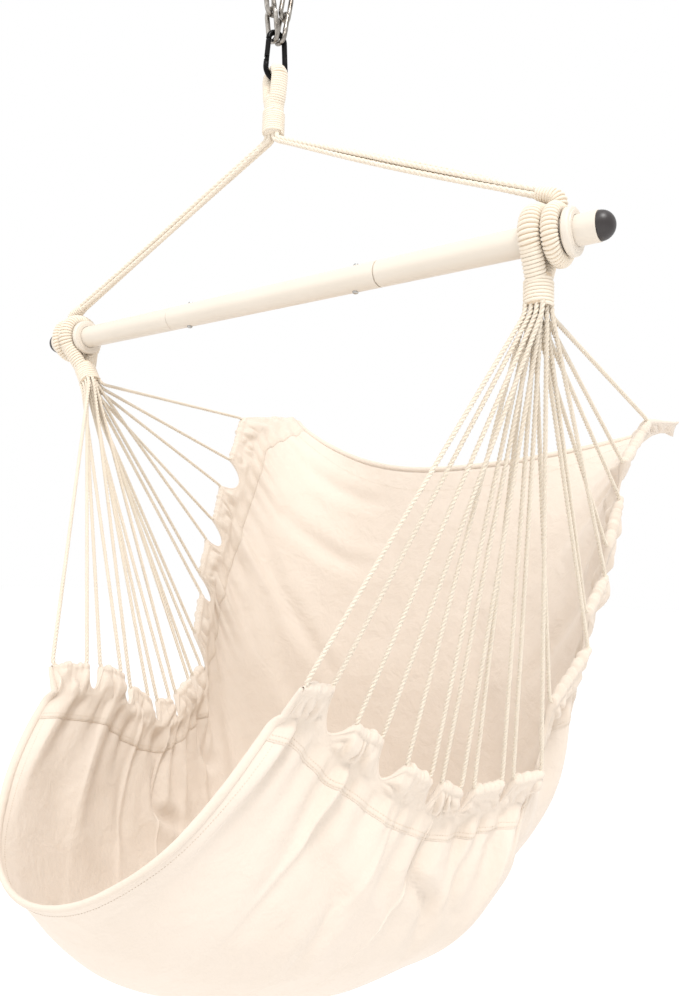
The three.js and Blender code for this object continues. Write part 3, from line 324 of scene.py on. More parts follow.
class Finish:
    def __init__(self, name, **constants):
        self.material = bpy.data.materials.new(name)
        self.material.use_nodes = True
        self.tree = self.material.node_tree
        self.shader = self.tree.nodes["Principled BSDF"]
        for label, value in constants.items():
            self.shader.inputs[label.replace("_", " ")].default_value = value

    def node(self, kind, settings=None, inputs=(), out=0):
        node = self.tree.nodes.new(kind)
        for key, value in (settings or {}).items():
            setattr(node, key, value)
        for key, value in inputs.items() if isinstance(inputs, dict) else enumerate(inputs):
            if isinstance(value, Value):
                self.tree.links.new(value.socket, node.inputs[key])
            else:
                node.inputs[key].default_value = value
        return Value(self, node.outputs[out])

    def coordinates(self, output="Object"):
        return self.node("ShaderNodeTexCoord", out=output)

    def noise(self, where, scale, detail=3.0, roughness=0.55, distortion=0.0):
        return self.node("ShaderNodeTexNoise", {}, {"Vector": where, "Scale": scale, "Detail": detail,
                                                     "Roughness": roughness, "Distortion": distortion})

    def mix(self, factor, first, second):
        return self.node("ShaderNodeMix", {"data_type": "RGBA"}, {0: factor, 6: first, 7: second}, out=2)

    def bump(self, height, strength, distance, **under):
        return self.node("ShaderNodeBump", {}, {"Strength": strength, "Distance": distance, "Height": height,
                                                **under})

    def feed(self, **sockets):
        for label, value in sockets.items():
            self.tree.links.new(value.socket, self.shader.inputs[label.replace("_", " ")])
        return self.material


print("screen white in linear light", linear(255, 255, 255))

# %% [markdown]
# ### Cotton canvas
# The seat is unbleached cotton canvas: warm cream, matt, with a plain weave, thicker threads here and there
# and a faint mottle from washing. The weave follows the cloth through its own UV map, which is laid out in
# metres. A little sheen stands for the fuzz that catches light at grazing angles.

# %% Canvas
WEAVE_PITCH = 0.0013


def canvas(name, lit, shade):
    finish = Finish(name, Roughness=0.92, Sheen_Weight=0.18, Sheen_Roughness=0.5, Specular_IOR_Level=0.2)
    flat = finish.coordinates("UV")
    where = finish.coordinates("Object")
    across, along = (finish.node("ShaderNodeSeparateXYZ", {}, [flat], out) for out in ("X", "Y"))
    turns = 2 * math.pi / WEAVE_PITCH
    weave = (across * turns).wave() * (along * turns).wave() * 0.5 + 0.5
    slubs = [finish.noise(finish.node("ShaderNodeMapping", {}, {"Vector": flat, "Scale": scale}), 1.0, 2.0)
             for scale in ((30, 900, 1), (900, 30, 1))]
    crumple = finish.noise(where, 26.0, 4.0, 0.55, 0.3)
    mottle = finish.noise(where, 7.0, 4.0, 0.6)
    threads = (slubs[0] + slubs[1]) * 0.5
    tone = (mottle * 0.6 + threads * 0.4 - 0.28).clamped() * 1.6
    relief = finish.bump(crumple, 0.6, 0.006)
    return finish.feed(Base_Color=finish.mix(tone.clamped(), linear(*shade), linear(*lit)),
                       Roughness=(threads * 0.14 + 0.86).clamped(),
                       Normal=finish.bump(weave * 0.6 + threads * 0.5, 0.2, 0.0003, Normal=relief))


CANVAS = canvas("cotton_canvas", (225, 213, 201), (215, 202, 188))
CANVAS_EDGE = canvas("cotton_canvas_edge", (224, 212, 199), (212, 198, 183))
print("canvas ready")

# %% [markdown]
# ### Cotton rope and cord
# Rope is whiter than the canvas, with fine fibres along each strand and loose fuzz. The strands themselves
# are modelled, so the material only adds fibre streaks, patches of tone and a soft grain.

# %% Rope
def rope_finish(name, lit, shade, scale):
    finish = Finish(name, Roughness=0.9, Sheen_Weight=0.25, Sheen_Roughness=0.45, Specular_IOR_Level=0.2)
    where = finish.coordinates("Object")
    fibres = finish.noise(where, scale, 4.0, 0.7, 0.8)
    patches = finish.noise(where, 30.0, 2.0)
    tone = (fibres * 0.55 + patches * 0.6 - 0.2).clamped()
    return finish.feed(Base_Color=finish.mix(tone, linear(*shade), linear(*lit)),
                       Roughness=(fibres * 0.16 + 0.82).clamped(), Normal=finish.bump(fibres, 0.4, 0.0007))


ROPE = rope_finish("cotton_rope", (236, 226, 210), (221, 208, 190), 900.0)
CORE = rope_finish("rope_core", (232, 214, 190), (208, 186, 158), 700.0)
THREAD = rope_finish("sewing_thread", (226, 212, 194), (204, 186, 164), 2500.0)
print("rope ready")

# %% [markdown]
# ### Painted and bare metal, and the plastic caps
# The bar has a satin powder coat with a faint orange peel. The caps are dark moulded plastic with a fine
# grain. The snap hook is coated black and slightly rubbed, and the chain is bright plated steel with dull
# patches whose dark colour is partly dull plating and partly a painted dark reflection.

# %% Metals and plastic
def moulded(name, lit, shade, fine, cloud_scale, smoothness, relief, **constants):
    """A coated or moulded surface with a fine grain and a slow change of tone."""
    finish = Finish(name, **constants)
    where = finish.coordinates()
    grain = finish.noise(where, *fine)
    cloud = finish.noise(where, cloud_scale)
    return finish.feed(Base_Color=finish.mix(cloud, linear(*shade), linear(*lit)),
                       Roughness=(cloud * 0.12 + smoothness).clamped(), Normal=finish.bump(grain, *relief))


def black_steel():
    finish = Finish("black_steel", Metallic=0.0, Specular_IOR_Level=0.12)
    rubs = finish.noise(finish.coordinates(), 140.0, 5.0, 0.65)
    worn = ((rubs - 0.62) * 9).clamped()
    return finish.feed(Base_Color=finish.mix(worn, linear(7, 6, 6), linear(44, 41, 39)),
                       Roughness=(rubs * 0.2 + 0.2).clamped(), Normal=finish.bump(rubs, 0.05, 0.0004))


def plated_steel(name, bright, dull_and_dark_reflection):
    finish = Finish(name, Metallic=1.0)
    where = finish.coordinates()
    spots = finish.noise(where, 90.0, 3.0, 0.55)
    cloud = finish.noise(where, 40.0)
    # The dark end of this mix is partly dull plating and partly a painted dark reflection.
    tone = ((spots * 0.5 + cloud * 0.5 - 0.5) * 3.2 + 0.5).clamped()
    return finish.feed(Base_Color=finish.mix(tone, linear(*dull_and_dark_reflection), linear(*bright)),
                       Roughness=(cloud * 0.2 + 0.14).clamped(), Normal=finish.bump(spots, 0.03, 0.0004))


POWDER = moulded("cream_powder_coat", (218, 208, 195), (211, 201, 187), (420.0, 2.0), 9.0, 0.36,
                 (0.06, 0.0006), Metallic=0.0, Coat_Weight=0.12, Coat_Roughness=0.3, Specular_IOR_Level=0.45)
PLASTIC = moulded("cap_plastic", (48, 42, 41), (36, 31, 31), (900.0, 3.0), 60.0, 0.34, (0.12, 0.0003),
                  Specular_IOR_Level=0.5)
BLACK = black_steel()
# The chain's dark colour is partly dull plating and partly a painted dark reflection.
CHAIN = plated_steel("chain_steel", (186, 181, 174), (96, 89, 81))
SPRING = plated_steel("spring_steel", (196, 195, 192), (140, 138, 134))
print("metals and plastic ready")

# %% [markdown]
# ## Take-down bar
# Three tubes push together. The side tubes end in a reduced spigot inside the middle one, and a dark line
# shows at each joint. Turning a profile gives the walls, the spigots and the small chamfers in one go, and
# a Boolean cutter bores the holes for the snap buttons through both walls.

# %% Tubes
BAR_R, BORE_R, BAR_END, JOINT, BUTTON_X, HOLE_R = 17.5, 16.0, 483, 192.6, 155.6, 4.35
SPIGOT_R, SPIGOT_BORE, SPIGOT_START, CHAMFER = 15.65, 14.15, 192.6 - 70, 0.3
JOINT_GAP = {1: 2.2, -1: 0.6}
SHARP = 35


def bored(piece, *xs):
    """The same tube with holes for the buttons through both its walls."""
    cutter_bm = bmesh.new()
    for x in xs:
        bmesh.ops.create_cone(cutter_bm, cap_ends=True, segments=32, radius1=HOLE_R * MM, radius2=HOLE_R * MM,
                              depth=60 * MM, matrix=Matrix.Translation(at(x, 0, 0)))
    cutter = from_bmesh("cutter", cutter_bm)
    cut = piece.modifiers.new("holes", "BOOLEAN")
    cut.operation, cut.solver, cut.object = "DIFFERENCE", "EXACT", cutter
    old, piece.data = piece.data, mesh_of(piece, "bored")
    piece.modifiers.clear()
    bpy.data.meshes.remove(old)
    bpy.data.objects.remove(cutter)
    piece.data.name = piece.name
    piece.data.shade_smooth()
    piece.data.set_sharp_from_angle(angle=math.radians(SHARP))
    return piece


middle_tube = [(BORE_R, -JOINT), (BAR_R - CHAMFER, -JOINT), (BAR_R, CHAMFER - JOINT),
               (BAR_R, JOINT - CHAMFER), (BAR_R - CHAMFER, JOINT), (BORE_R, JOINT), (BORE_R, -JOINT)]
tube = bored(turned("centre_tube", middle_tube), BUTTON_X, -BUTTON_X)
dress(tube, POWDER, "hanger", "cream_powder_coat", "bar_centre_tube")
for word, side in SIDES.items():
    mouth = JOINT + JOINT_GAP[side]
    side_tube = [(SPIGOT_BORE, SPIGOT_START), (SPIGOT_R, SPIGOT_START), (SPIGOT_R, mouth),
                 (BAR_R - CHAMFER, mouth), (BAR_R, mouth + CHAMFER), (BAR_R, BAR_END - CHAMFER),
                 (BAR_R - CHAMFER, BAR_END), (BORE_R, BAR_END), (BORE_R, mouth + 3), (SPIGOT_BORE, mouth),
                 (SPIGOT_BORE, SPIGOT_START)]
    tube = bored(turned(word + "_tube", [(r, side * a) for r, a in side_tube]), side * BUTTON_X)
    dress(tube, POWDER, "hanger", "cream_powder_coat", f"bar_{word}_tube")
print("tubes ready")

# %% [markdown]
# ## Stop rings, end caps and snap buttons
# A moulded ring on each side keeps the loops from sliding: inboard of them on the left, outboard on the
# right. Its rim is rounded, and a thin hub runs along the bar. The caps are domed plugs, and the buttons
# are small domes on stems that a bent strip inside the bar pushes out.

# %% Rings, caps and buttons
def arc(centre, radius, start, end, steps):
    """Points (radius, along) on an arc, with the angle measured from outwards to along."""
    angles = [math.radians(start + (end - start) * k / steps) for k in range(steps + 1)]
    return [(centre[0] + radius * math.cos(a), centre[1] + radius * math.sin(a)) for a in angles]


RING_X = {-1: -406, 1: sum(v.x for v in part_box("right_stop_ring")) / 2 / MM}
DOME_R, DOME_FOOT, DOME_HEIGHT = 16.8, 0.9, 16.1
ring = [(18, -6), (23, -6), (23.4, -5.2), (25, -4.8), *arc((25, -1.8), 3, -90, 0, 6),
        *arc((25, 1.8), 3, 0, 90, 6), (23.4, 5.2), (23, 6), (18, 6), (18, -6)]
cap_profile = [(0, -16), (14.7, -16), (15.7, -14), (15.7, 0.3), (16.3, 0.3), (DOME_R, DOME_FOOT)]
cap_profile += [(DOME_R * math.cos(a), DOME_FOOT + DOME_HEIGHT * math.sin(a))
                for a in np.linspace(0, math.pi / 2, 12)[1:-1]] + [(0, DOME_FOOT + DOME_HEIGHT)]
snap = [(0, 11.34), (5.5, 11.34), (5.5, 12.74), (4, 12.74), *arc((2.2, 18.3), 1.8, 0, 90, 5), (0, 20.1)]
for word, side in SIDES.items():
    stop = turned(word + "_ring", ring, centre=(RING_X[side], 0, 0))
    dress(stop, POWDER, "hanger", "cream_powder_coat", word + "_stop_ring")
for word, side in SIDES.items():
    cap = turned(word + "_cap", [(r, side * (BAR_END + a)) for r, a in cap_profile], 48)
    dress(cap, PLASTIC, "hanger", "cap_plastic", word + "_end_cap")
    for place, sign in (("top", 1), ("bottom", -1)):
        button = turned(f"{word}_{place}_snap", [(r, sign * a) for r, a in snap], 28, 40, "Z",
                        (side * BUTTON_X, 0, 0))
        dress(button, SPRING, f"{word}_button_{place}", "spring_steel", f"{word}_{place}_button")
for node, finish in (("left_button_spring", SPRING), ("right_button_spring", SPRING),
                     ("carabiner_gate", BLACK), ("carabiner_gate_pin", BLACK),
                     ("carabiner_gate_spring", SPRING)):
    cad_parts[node].data.materials.clear()
    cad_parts[node].data.materials.append(finish)
print("rings, caps and buttons ready")

# %% [markdown]
# ## Wound loops
# The loops on the bar are bundles of rope bound all the way round with thinner cord, wrap beside wrap. A
# core is swept first, and one long helix of cord is wound on it. The seat loop is a teardrop: round over
# the bar, with both sides coming together at the neck.

# %% Swept pieces
def swept(name, points, radius, closed=False, sides=8, lobes=0, lay=18.0, radii=None):
    """A section swept along points in metres; with lobes, three strands that turn once in every lay."""
    curve = bpy.data.curves.new(name, "CURVE")
    curve.dimensions, curve.twist_mode = "3D", "MINIMUM"
    spline = curve.splines.new("POLY")
    spline.points.add(len(points) - 1)
    far = 0.0
    for i, point in enumerate(points):
        spline.points[i].co = (*point, 1)
        if i:
            far += (Vector(point) - Vector(points[i - 1])).length
        spline.points[i].tilt = 2 * math.pi * (far / (lay * MM) % 1) if lobes else 0
        spline.points[i].radius = radii[i] if radii else 1
    spline.use_cyclic_u, curve.use_fill_caps = closed, not closed
    section = in_scene("section", lobed_section(radius, lobes)) if lobes else None
    if section:
        curve.bevel_mode, curve.bevel_object = "OBJECT", section
    else:
        curve.bevel_depth, curve.bevel_resolution = radius * MM, max(0, sides // 2 - 2)
    draft = in_scene(name, curve)
    mesh = mesh_of(draft, name)
    bpy.data.objects.remove(draft)
    bpy.data.curves.remove(curve)
    if section:
        bpy.data.objects.remove(section)
    mesh.materials.clear()
    bm = bmesh.new()
    bm.from_mesh(mesh)
    bpy.data.meshes.remove(mesh)
    return from_bmesh(name, bm, merge=1e-7)


def lobed_section(radius, lobes, count=18):
    """A closed line round three touching strands, as the cut end of a three-strand rope shows."""
    curve = bpy.data.curves.new("section", "CURVE")
    curve.dimensions = "2D"
    spline = curve.splines.new("POLY")
    strand, off, hollow = 0.464, 0.536, 0.45
    spline.points.add(count - 1)
    for i in range(count):
        around = 2 * math.pi * i / count
        near = (around + math.pi / 3) % (2 * math.pi / 3) - math.pi / 3
        reach = off * math.cos(near) + math.sqrt(max(0, strand ** 2 - (off * math.sin(near)) ** 2))
        reach = radius * MM * (1 - lobes * (1 - max(reach, hollow)))
        spline.points[i].co = (reach * math.cos(around), reach * math.sin(around), 0, 1)
    spline.use_cyclic_u = True
    return curve


print("sections ready: round wire, and three strands")

# %% [markdown]
# ### Grids
# Cloth and the cores inside the windings have no simple profile, but they have rows. A grid is made flat by
# its operator, and then each of its points goes to its own place. A tube is a grid whose last column meets
# its first.

# %% Grid pieces
def grid_piece(name, place, uv=None, wrap=False, thickness=None):
    """A grid whose points are placed by an array of shape (rows, columns, 3) in millimetres."""
    bm = bmesh.new()
    layer = bm.loops.layers.uv.new("Cloth") if uv is not None else None
    rows, columns = place.shape[:2]
    made = bmesh.ops.create_grid(bm, x_segments=columns - 1, y_segments=rows - 1, size=1)["verts"]
    ordered = sorted(made, key=lambda v: (round(v.co.y, 5), round(v.co.x, 5)))
    index = {v: i for i, v in enumerate(ordered)}
    if layer is not None:
        flat = uv.reshape(-1, 2) * MM
        for face in bm.faces:
            for loop in face.loops:
                loop[layer].uv = flat[index[loop.vert]]
    spots = place.reshape(-1, 3)
    for v, i in index.items():
        v.co = at(*spots[i])
    piece = from_bmesh(name, bm, merge=2e-6 if wrap else None)
    if thickness:
        wall = piece.modifiers.new("wall", "SOLIDIFY")
        wall.thickness, wall.offset, wall.use_even_offset = thickness * MM, 0, False
    return piece


def tube_piece(name, rings, middle, uv=None):
    """A tube of rings round a middle line, closed at both ends."""
    rings[:, -1] = rings[:, 0]
    ends = [np.repeat(p[None, None], rings.shape[1], 1) for p in (middle[0], middle[-1])]
    return grid_piece(name, np.concatenate([ends[0], rings, ends[1]]), uv, wrap=True)


print("grids ready: flat cloth, and closed tubes")

# %% [markdown]
# ### Windings
# A wrap is one cord that goes round and round a core. A helix that follows the core's own width and
# thickness makes it in one piece, so that no two wraps have to be fitted together.

# %% Windings
ALONG_BAR, ACROSS_BAR = (1, 0, 0), (0, 1, 0)
WRAP_PACKING = 0.97


def frames_along(points, width_axis):
    """For each point of a core, its width and its thickness axis, both square to the core."""
    points = np.array(points)
    ahead = unit_rows(np.gradient(points, axis=0))
    wide = np.array(width_axis, float)
    wide = unit_rows(wide - ahead * (ahead @ wide)[:, None])
    return points, wide, np.cross(ahead, wide)


def winding(name, core, width_axis, half_wide, half_thick, cord_mm, pitch=None, per_turn=16):
    """A helix of cord wound round a core, whose outer half sizes are half_wide and half_thick."""
    points, wide, thick = frames_along(core, width_axis)
    length = travelled(points)
    pitch = pitch or cord_mm * WRAP_PACKING
    marks = np.linspace(0, length[-1], int(length[-1] / pitch * per_turn))
    where, w, h = (read_at(marks, length, v) for v in (points, wide, thick))
    a, b = (np.interp(marks, length, np.broadcast_to(half, length.shape)) - cord_mm / 2
            for half in (half_wide, half_thick))
    around = 2 * math.pi * marks / pitch
    line = where + w * (a * np.cos(around))[:, None] + h * (b * np.sin(around))[:, None]
    return swept(name, [at(*p) for p in line], cord_mm / 2)


def core_tube(name, core, width_axis, half_wide, half_thick, sides=16):
    points, wide, thick = frames_along(core, width_axis)
    around = np.linspace(0, 2 * math.pi, sides + 1)[:, None]
    a, b = (np.broadcast_to(half, len(points))[:, None, None] for half in (half_wide, half_thick))
    rings = points[:, None] + wide[:, None] * (a * np.cos(around)) + thick[:, None] * (b * np.sin(around))
    return tube_piece(name, rings, points)


def wound(name, line, axis, wide, thick, cord_mm, body, node, pitch=None, per_turn=16, inset=None):
    """A binding round a line, with a core of its own that is smaller by the inset, where one is given."""
    binding = winding(name + "_binding", line, axis, wide, thick, cord_mm, pitch, per_turn)
    dress(binding, ROPE, body, "cotton_rope", node)
    if inset:
        core = core_tube(name + "_core", line, axis, wide - inset, thick - inset)
        dress(core, CORE, body, "cotton_rope", node)


def joined(name, pieces):
    bm = bmesh.new()
    for piece in pieces:
        mesh = piece.data
        bm.from_mesh(mesh)
        bpy.data.objects.remove(piece)
        bpy.data.meshes.remove(mesh)
    mesh = bpy.data.meshes.new(name)
    bm.to_mesh(mesh)
    bm.free()
    mesh.shade_smooth()
    return in_scene(name, mesh)


print("wraps lie", WRAP_PACKING, "of a cord's thickness apart")

# %% [markdown]
# ### Seat loops
# Each seat loop goes over the bar and carries one side of the cloth. Below the bar its two halves lie
# together, and a short whipping round both of them makes the neck that the ten cords come out of. The
# loop's middle line is an arc with two straight runs, so it touches the bar only where real rope would.

# %% Seat loops and the whippings of their necks
WRAP, LOOP_MID, LOOP_W, LOOP_T, LOOP_OPEN = 4.6, 29.3, 13.2, 11.6, 128
SHOULDER, THROAT, WHIPPING_R, NECK_CORE_R = 29, 6.5, 17.6, 15
for word, side in SIDES.items():
    bottom, along, _ = neck(side)
    over_bar = [np.array([side * NECK_X[side], LOOP_MID * math.sin(a), LOOP_MID * math.cos(a)])
                for a in np.radians(np.linspace(-LOOP_OPEN, LOOP_OPEN, 60))]
    back, front = (bottom - along * SHOULDER + np.array([0, s * THROAT, 0]) for s in (1, -1))
    head = [front + (over_bar[0] - front) * t for t in np.linspace(0, 1, 10)[:-1]]
    tail = [over_bar[-1] + (back - over_bar[-1]) * t for t in np.linspace(0, 1, 10)[1:]]
    wound(word + "_loop", head + over_bar + tail, ALONG_BAR, LOOP_W, LOOP_T, WRAP, "seat",
          word + "_seat_loop", inset=2.6)
    line = [bottom - along * t for t in np.linspace(30, 1, 12)]
    wound(word + "_neck", line, ALONG_BAR, WHIPPING_R, WHIPPING_R, 4.2, "seat", word + "_neck_whipping",
          per_turn=28)
    line = [bottom - along * t for t in np.linspace(36, 0.5, 8)]
    core = core_tube(word + "_neck_core", line, ALONG_BAR, NECK_CORE_R, NECK_CORE_R, 24)
    dress(core, CORE, "seat", "cotton_rope", word + "_seat_loop")
print("seat loops ready")

# %% [markdown]
# ## Hanger loops, ropes and eye
# Beside each seat loop a second, rounder loop holds the bar up. Its four ropes leave through a short bound
# collar and rise side by side to one neck, where they are bound again and turn into the eye over the hook.

# %% Hanger loops and collars
HANGER_X = {side: side * (NECK_X[side] + 23.4) for side in (1, -1)}
COLLAR_RISE, COLLAR_LENGTH, KNOT = 43.2, 28, 242
HANGER_MID, HANGER_R, COLLAR_BEND = 27.8, 10.1, 9


def collar(side):
    x = HANGER_X[side]
    foot = np.array([x, 0, COLLAR_RISE])
    slope = (KNOT - COLLAR_RISE) / abs(x)
    end = np.array([x - side * COLLAR_LENGTH, 0, COLLAR_RISE + COLLAR_LENGTH * slope])
    return foot, end, unit(end - foot)


for word, side in SIDES.items():
    foot, _, along = collar(side)
    x, node = HANGER_X[side], word + "_hanger_loop"
    line = [np.array([x, HANGER_MID * math.sin(a), HANGER_MID * math.cos(a)])
            for a in np.radians(np.linspace(2, 362, 72))]
    wound(word + "_hanger", line, ALONG_BAR, HANGER_R, HANGER_R, 4.4, "hanger", node, inset=2.3)
    line = bent(np.array([x + side, 0, 28]), np.array([x + side * 2.2, 0, COLLAR_RISE - 1]),
                foot + along * COLLAR_BEND, 12)
    line += [foot + along * t for t in np.linspace(COLLAR_BEND, COLLAR_LENGTH * 1.04, 9)[1:]]
    girth = np.interp(np.linspace(0, 1, len(line)), [0, 0.25, 0.6, 1], [9.0, 10.4, 10.2, 8.4])
    wound(word + "_collar", line, ACROSS_BAR, girth, girth, 4.0, "hanger", node, per_turn=20, inset=2.2)
print("hanger loops ready")

# %% [markdown]
# ### Ropes to the neck
# Four thick ropes run side by side on each side, two over two. They are nearly straight under load, but no
# two are pulled alike, so each bows by a millimetre or two of its own. They turn upwards just below the
# neck.

# %% Ropes to the neck
ROPE_D, ROPE_PITCH = 7, 6.3
for word, side in SIDES.items():
    foot, end, along = collar(side)
    lift = np.cross([0, 1, 0], along) * -side
    lift *= np.sign(lift[2])
    ropes = []
    for level, row in ((-1, -1), (-1, 1), (1, -1), (1, 1)):
        start = end + along * -6 + lift * level * ROPE_PITCH / 2
        start[1] = row * ROPE_PITCH / 2
        reach = (ROPE_D + 0.3) / 2 + (ROPE_PITCH if level > 0 else 0)
        top = np.array([side * reach, row * ROPE_PITCH / 2, KNOT + 4])
        below = top.copy()
        below[2] = min(start[2] + abs(start[0] - top[0]) * along[2] / abs(along[0]), KNOT - ROPE_D)
        points = np.array(even_points(rounded([start, below, top], [14], 6), 2.4))
        share = np.linspace(0, 1, len(points))
        slack = np.sin(share * math.pi) ** 0.8 * (level * 1.5 + row * (2.2 + 0.5 * np.sin(share * 5 + level)))
        points += lift * slack[:, None] * MM
        ropes.append(swept(f"{word}_rope_{level}_{row}", points, ROPE_D / 2 + 0.1, lobes=0.4, lay=26))
    dress(joined(word + "_ropes", ropes), ROPE, "hanger", "cotton_rope", word + "_hanger_ropes")
print("ropes ready")

# %% [markdown]
# ### Eye
# The eye is the ropes' own end, turned over the hook's wire, wrapped with thin cord and bound again below.
# One closed bundle with a winding on it gives that, and it thins at the crown, where the load presses it
# flat.

# %% Eye over the hook and the whipping below it
HOOK_TURN = 70
IN_HOOK = np.array([math.cos(math.radians(HOOK_TURN)), math.sin(math.radians(HOOK_TURN)), 0])
SQUARE = np.array([IN_HOOK[1], -IN_HOOK[0], 0])
SLOT_Z, EYE_Z, CROWN, SHANK = 300, 326, 13.8, KNOT + 33


def over_middle(heights, out=0):
    """Points above the middle of the bar, moved out square to the hook."""
    return [SQUARE * x + np.array([0, 0, z]) for x, z in zip(np.broadcast_to(out, len(heights)), heights)]


leg = over_middle([SLOT_Z - 14, SLOT_Z - 3, SLOT_Z + 10], [-5, -9.5, -11.6])
other_leg = over_middle([SLOT_Z + 10, SLOT_Z - 3, SLOT_Z - 14], [11.6, 9.5, 5])
angles = np.linspace(math.pi, 0, 17)
line = leg + over_middle(EYE_Z + CROWN * np.sin(angles), CROWN * np.cos(angles)) + other_leg
share = np.linspace(0, 1, len(line))
wide = np.interp(share, [0, 0.25, 0.5, 0.75, 1], [13, 12.6, 9.6, 12.6, 13])
thick = np.interp(share, [0, 0.5, 1], [9.4, 9.2, 9.4])
wound("eye", line, IN_HOOK, wide, thick, 4.2, "hanger", "hanger_eye", 3.2, 20, inset=2.3)
line = over_middle(np.linspace(KNOT + 1.5, SHANK, 14))
wound("hanger", line, ALONG_BAR, 16.4, 16.4, 4.0, "hanger", "hanger_neck_whipping", 3.2, 28)
line = over_middle(np.linspace(SHANK, SLOT_Z - 4, 10))
wound("shank", line, ALONG_BAR, np.linspace(14.4, 13.4, 10), 14.4, 3.6, "hanger", "hanger_eye", 2.9, 24)
line = over_middle(np.linspace(KNOT + 0.5, SLOT_Z - 2, 10))
core = core_tube("hanger_core", line, ALONG_BAR, 13.4, 13.4, 24)
dress(core, ROPE, "hanger", "cotton_rope", "hanger_eye")
print("eye ready")

# %% [markdown]
# ## Snap hook and chain
# The hook is one bent wire, wide at the bottom and narrow at the top, with a flat tongue at each end of the
# opening that the gate closes. The links are wire stadiums with a slight swelling at the weld. Both are
# swept with eighteen sides so that their highlights stay round.

# %% Snap hook
HOOK_BASE = np.array([0, 0, EYE_Z + 16])
BEND_GAP, BOTTOM_R, TOP_R, WIRE_R = 43, 16, 13, 4
HINGE_DOWN, GATE_LENGTH, WIRE_PAST, TONGUE_W, TONGUE_T = 5.6, 26, 5, 5.6, 2.6
FLARE = math.asin((BOTTOM_R - TOP_R) / BEND_GAP)


def hook_arc(centre, radius, start, end, steps=24):
    angles = np.linspace(start, end, steps + 1)
    return [np.array([radius * math.cos(a), centre + radius * math.sin(a)]) for a in angles]


def in_hook(p):
    return HOOK_BASE + IN_HOOK * p[0] + np.array([0, 0, p[1]])


low = hook_arc(0, BOTTOM_R, math.pi - FLARE, 2 * math.pi + FLARE)
high = hook_arc(BEND_GAP, TOP_R, FLARE, math.pi - FLARE)
down = unit(low[0] - high[-1])
hinge = high[-1] + down * HINGE_DOWN
nose = hinge + down * GATE_LENGTH
line = [nose + down * WIRE_PAST, *low, *high, hinge - down * WIRE_PAST]
parts = [swept("hook_wire", [at(*in_hook(p)) for p in line], WIRE_R, sides=18)]
along_gate = unit(in_hook(nose) - in_hook(hinge))
axes = (along_gate, np.cross(-SQUARE, along_gate), -SQUARE)
basis = Matrix([Vector(v) for v in axes]).transposed().to_4x4()
for start, end, spot in ((-7, 1.6, "hinge"), (23.2, 33, "nose")):
    bm = bmesh.new()
    bmesh.ops.create_cube(bm, size=1)
    bmesh.ops.scale(bm, vec=((end - start) * MM, TONGUE_W * MM, TONGUE_T * MM), verts=bm.verts)
    bmesh.ops.translate(bm, vec=((start + end) / 2 * MM, 0, 0), verts=bm.verts)
    bmesh.ops.bevel(bm, geom=bm.edges[:], offset=0.5 * MM, segments=2, profile=0.5, affect="EDGES",
                    material=-1)
    bmesh.ops.transform(bm, matrix=Matrix.Translation(at(*in_hook(hinge))) @ basis, verts=bm.verts)
    parts.append(from_bmesh("tongue_" + spot, bm, 40))
bm = bmesh.new()
bmesh.ops.create_cone(bm, cap_ends=True, segments=20, radius1=1.2 * MM, radius2=1.2 * MM, depth=6.4 * MM,
                      matrix=Matrix.Translation(at(*in_hook(nose))) @ basis)
parts.append(from_bmesh("nose_pin", bm, 40))
dress(joined("snap_hook_wire", parts), BLACK, "snap_hook", "black_steel", "carabiner_body")
print("hook ready")

# %% [markdown]
# ### Links
# A link is steel wire bent into a stadium and welded, with a slight swelling at the weld. Its place comes
# from its solid, and only the turn of each link has to be stated, because the chain hangs as it likes.

# %% Links
LINK_WIRE, LINK_LENGTH, LINK_WIDTH = 7.2, 54, 25.6
LINK_TILT, LOW_TURN, UPPER_TURN = math.radians(8), {-1: -78, 1: -80}, 94
WELD_AT, WELD_SWELL, WELD_LENGTH = 24, 0.09, 1.6


def link_points(foot, azimuth, lean, count=72):
    across = np.array([math.cos(azimuth), math.sin(azimuth), 0])
    across = unit(across - lean * (across @ lean))
    bend, pitch = (LINK_WIDTH - LINK_WIRE) / 2, LINK_LENGTH - LINK_WIRE
    straight, half = pitch - 2 * bend, math.pi * bend
    points = []
    for k in range(count):
        s = k / count * 2 * (straight + half)
        if s < half:
            x, y = -bend * math.cos(s / bend), bend - bend * math.sin(s / bend)
        elif s < half + straight:
            x, y = bend, bend + s - half
        elif s < 2 * half + straight:
            t = (s - half - straight) / bend
            x, y = bend * math.cos(t), bend + straight + bend * math.sin(t)
        else:
            x, y = -bend, bend + straight - (s - 2 * half - straight)
        points.append(foot + across * x + lean * y)
    return points


for word, side in SIDES.items():
    lean = IN_HOOK * side * math.sin(LINK_TILT) + np.array([0, 0, math.cos(LINK_TILT)])
    for level, azimuth, body in (("lower", HOOK_TURN + LOW_TURN[side], "lower_links"),
                                 ("upper", UPPER_TURN, "top_links")):
        node = f"chain_link_{word}_{level}"
        lowest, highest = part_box(node)
        middle = (np.array(lowest) + np.array(highest)) / 2 / MM
        middle[2] -= BAR_Z / MM
        line = link_points(middle - lean * (LINK_LENGTH - LINK_WIRE) / 2, math.radians(azimuth), lean)
        swell = [1 + WELD_SWELL * math.exp(-((k - WELD_AT) / WELD_LENGTH) ** 2) for k in range(len(line))]
        link = swept(node + "_wire", [at(*p) for p in line], LINK_WIRE / 2, closed=True, sides=18,
                     radii=swell)
        dress(link, CHAIN, body, "chain_steel", node)
print("chain ready")

# %% [markdown]
# ## Cords
# The cords are three-strand twisted cotton, six millimetres thick. Each one is swept along the route that
# its solid has, with the twist turned into the sweep, so the strands are real shapes that catch the light.
# They are held at both ends and pulled straight by the seat's weight.

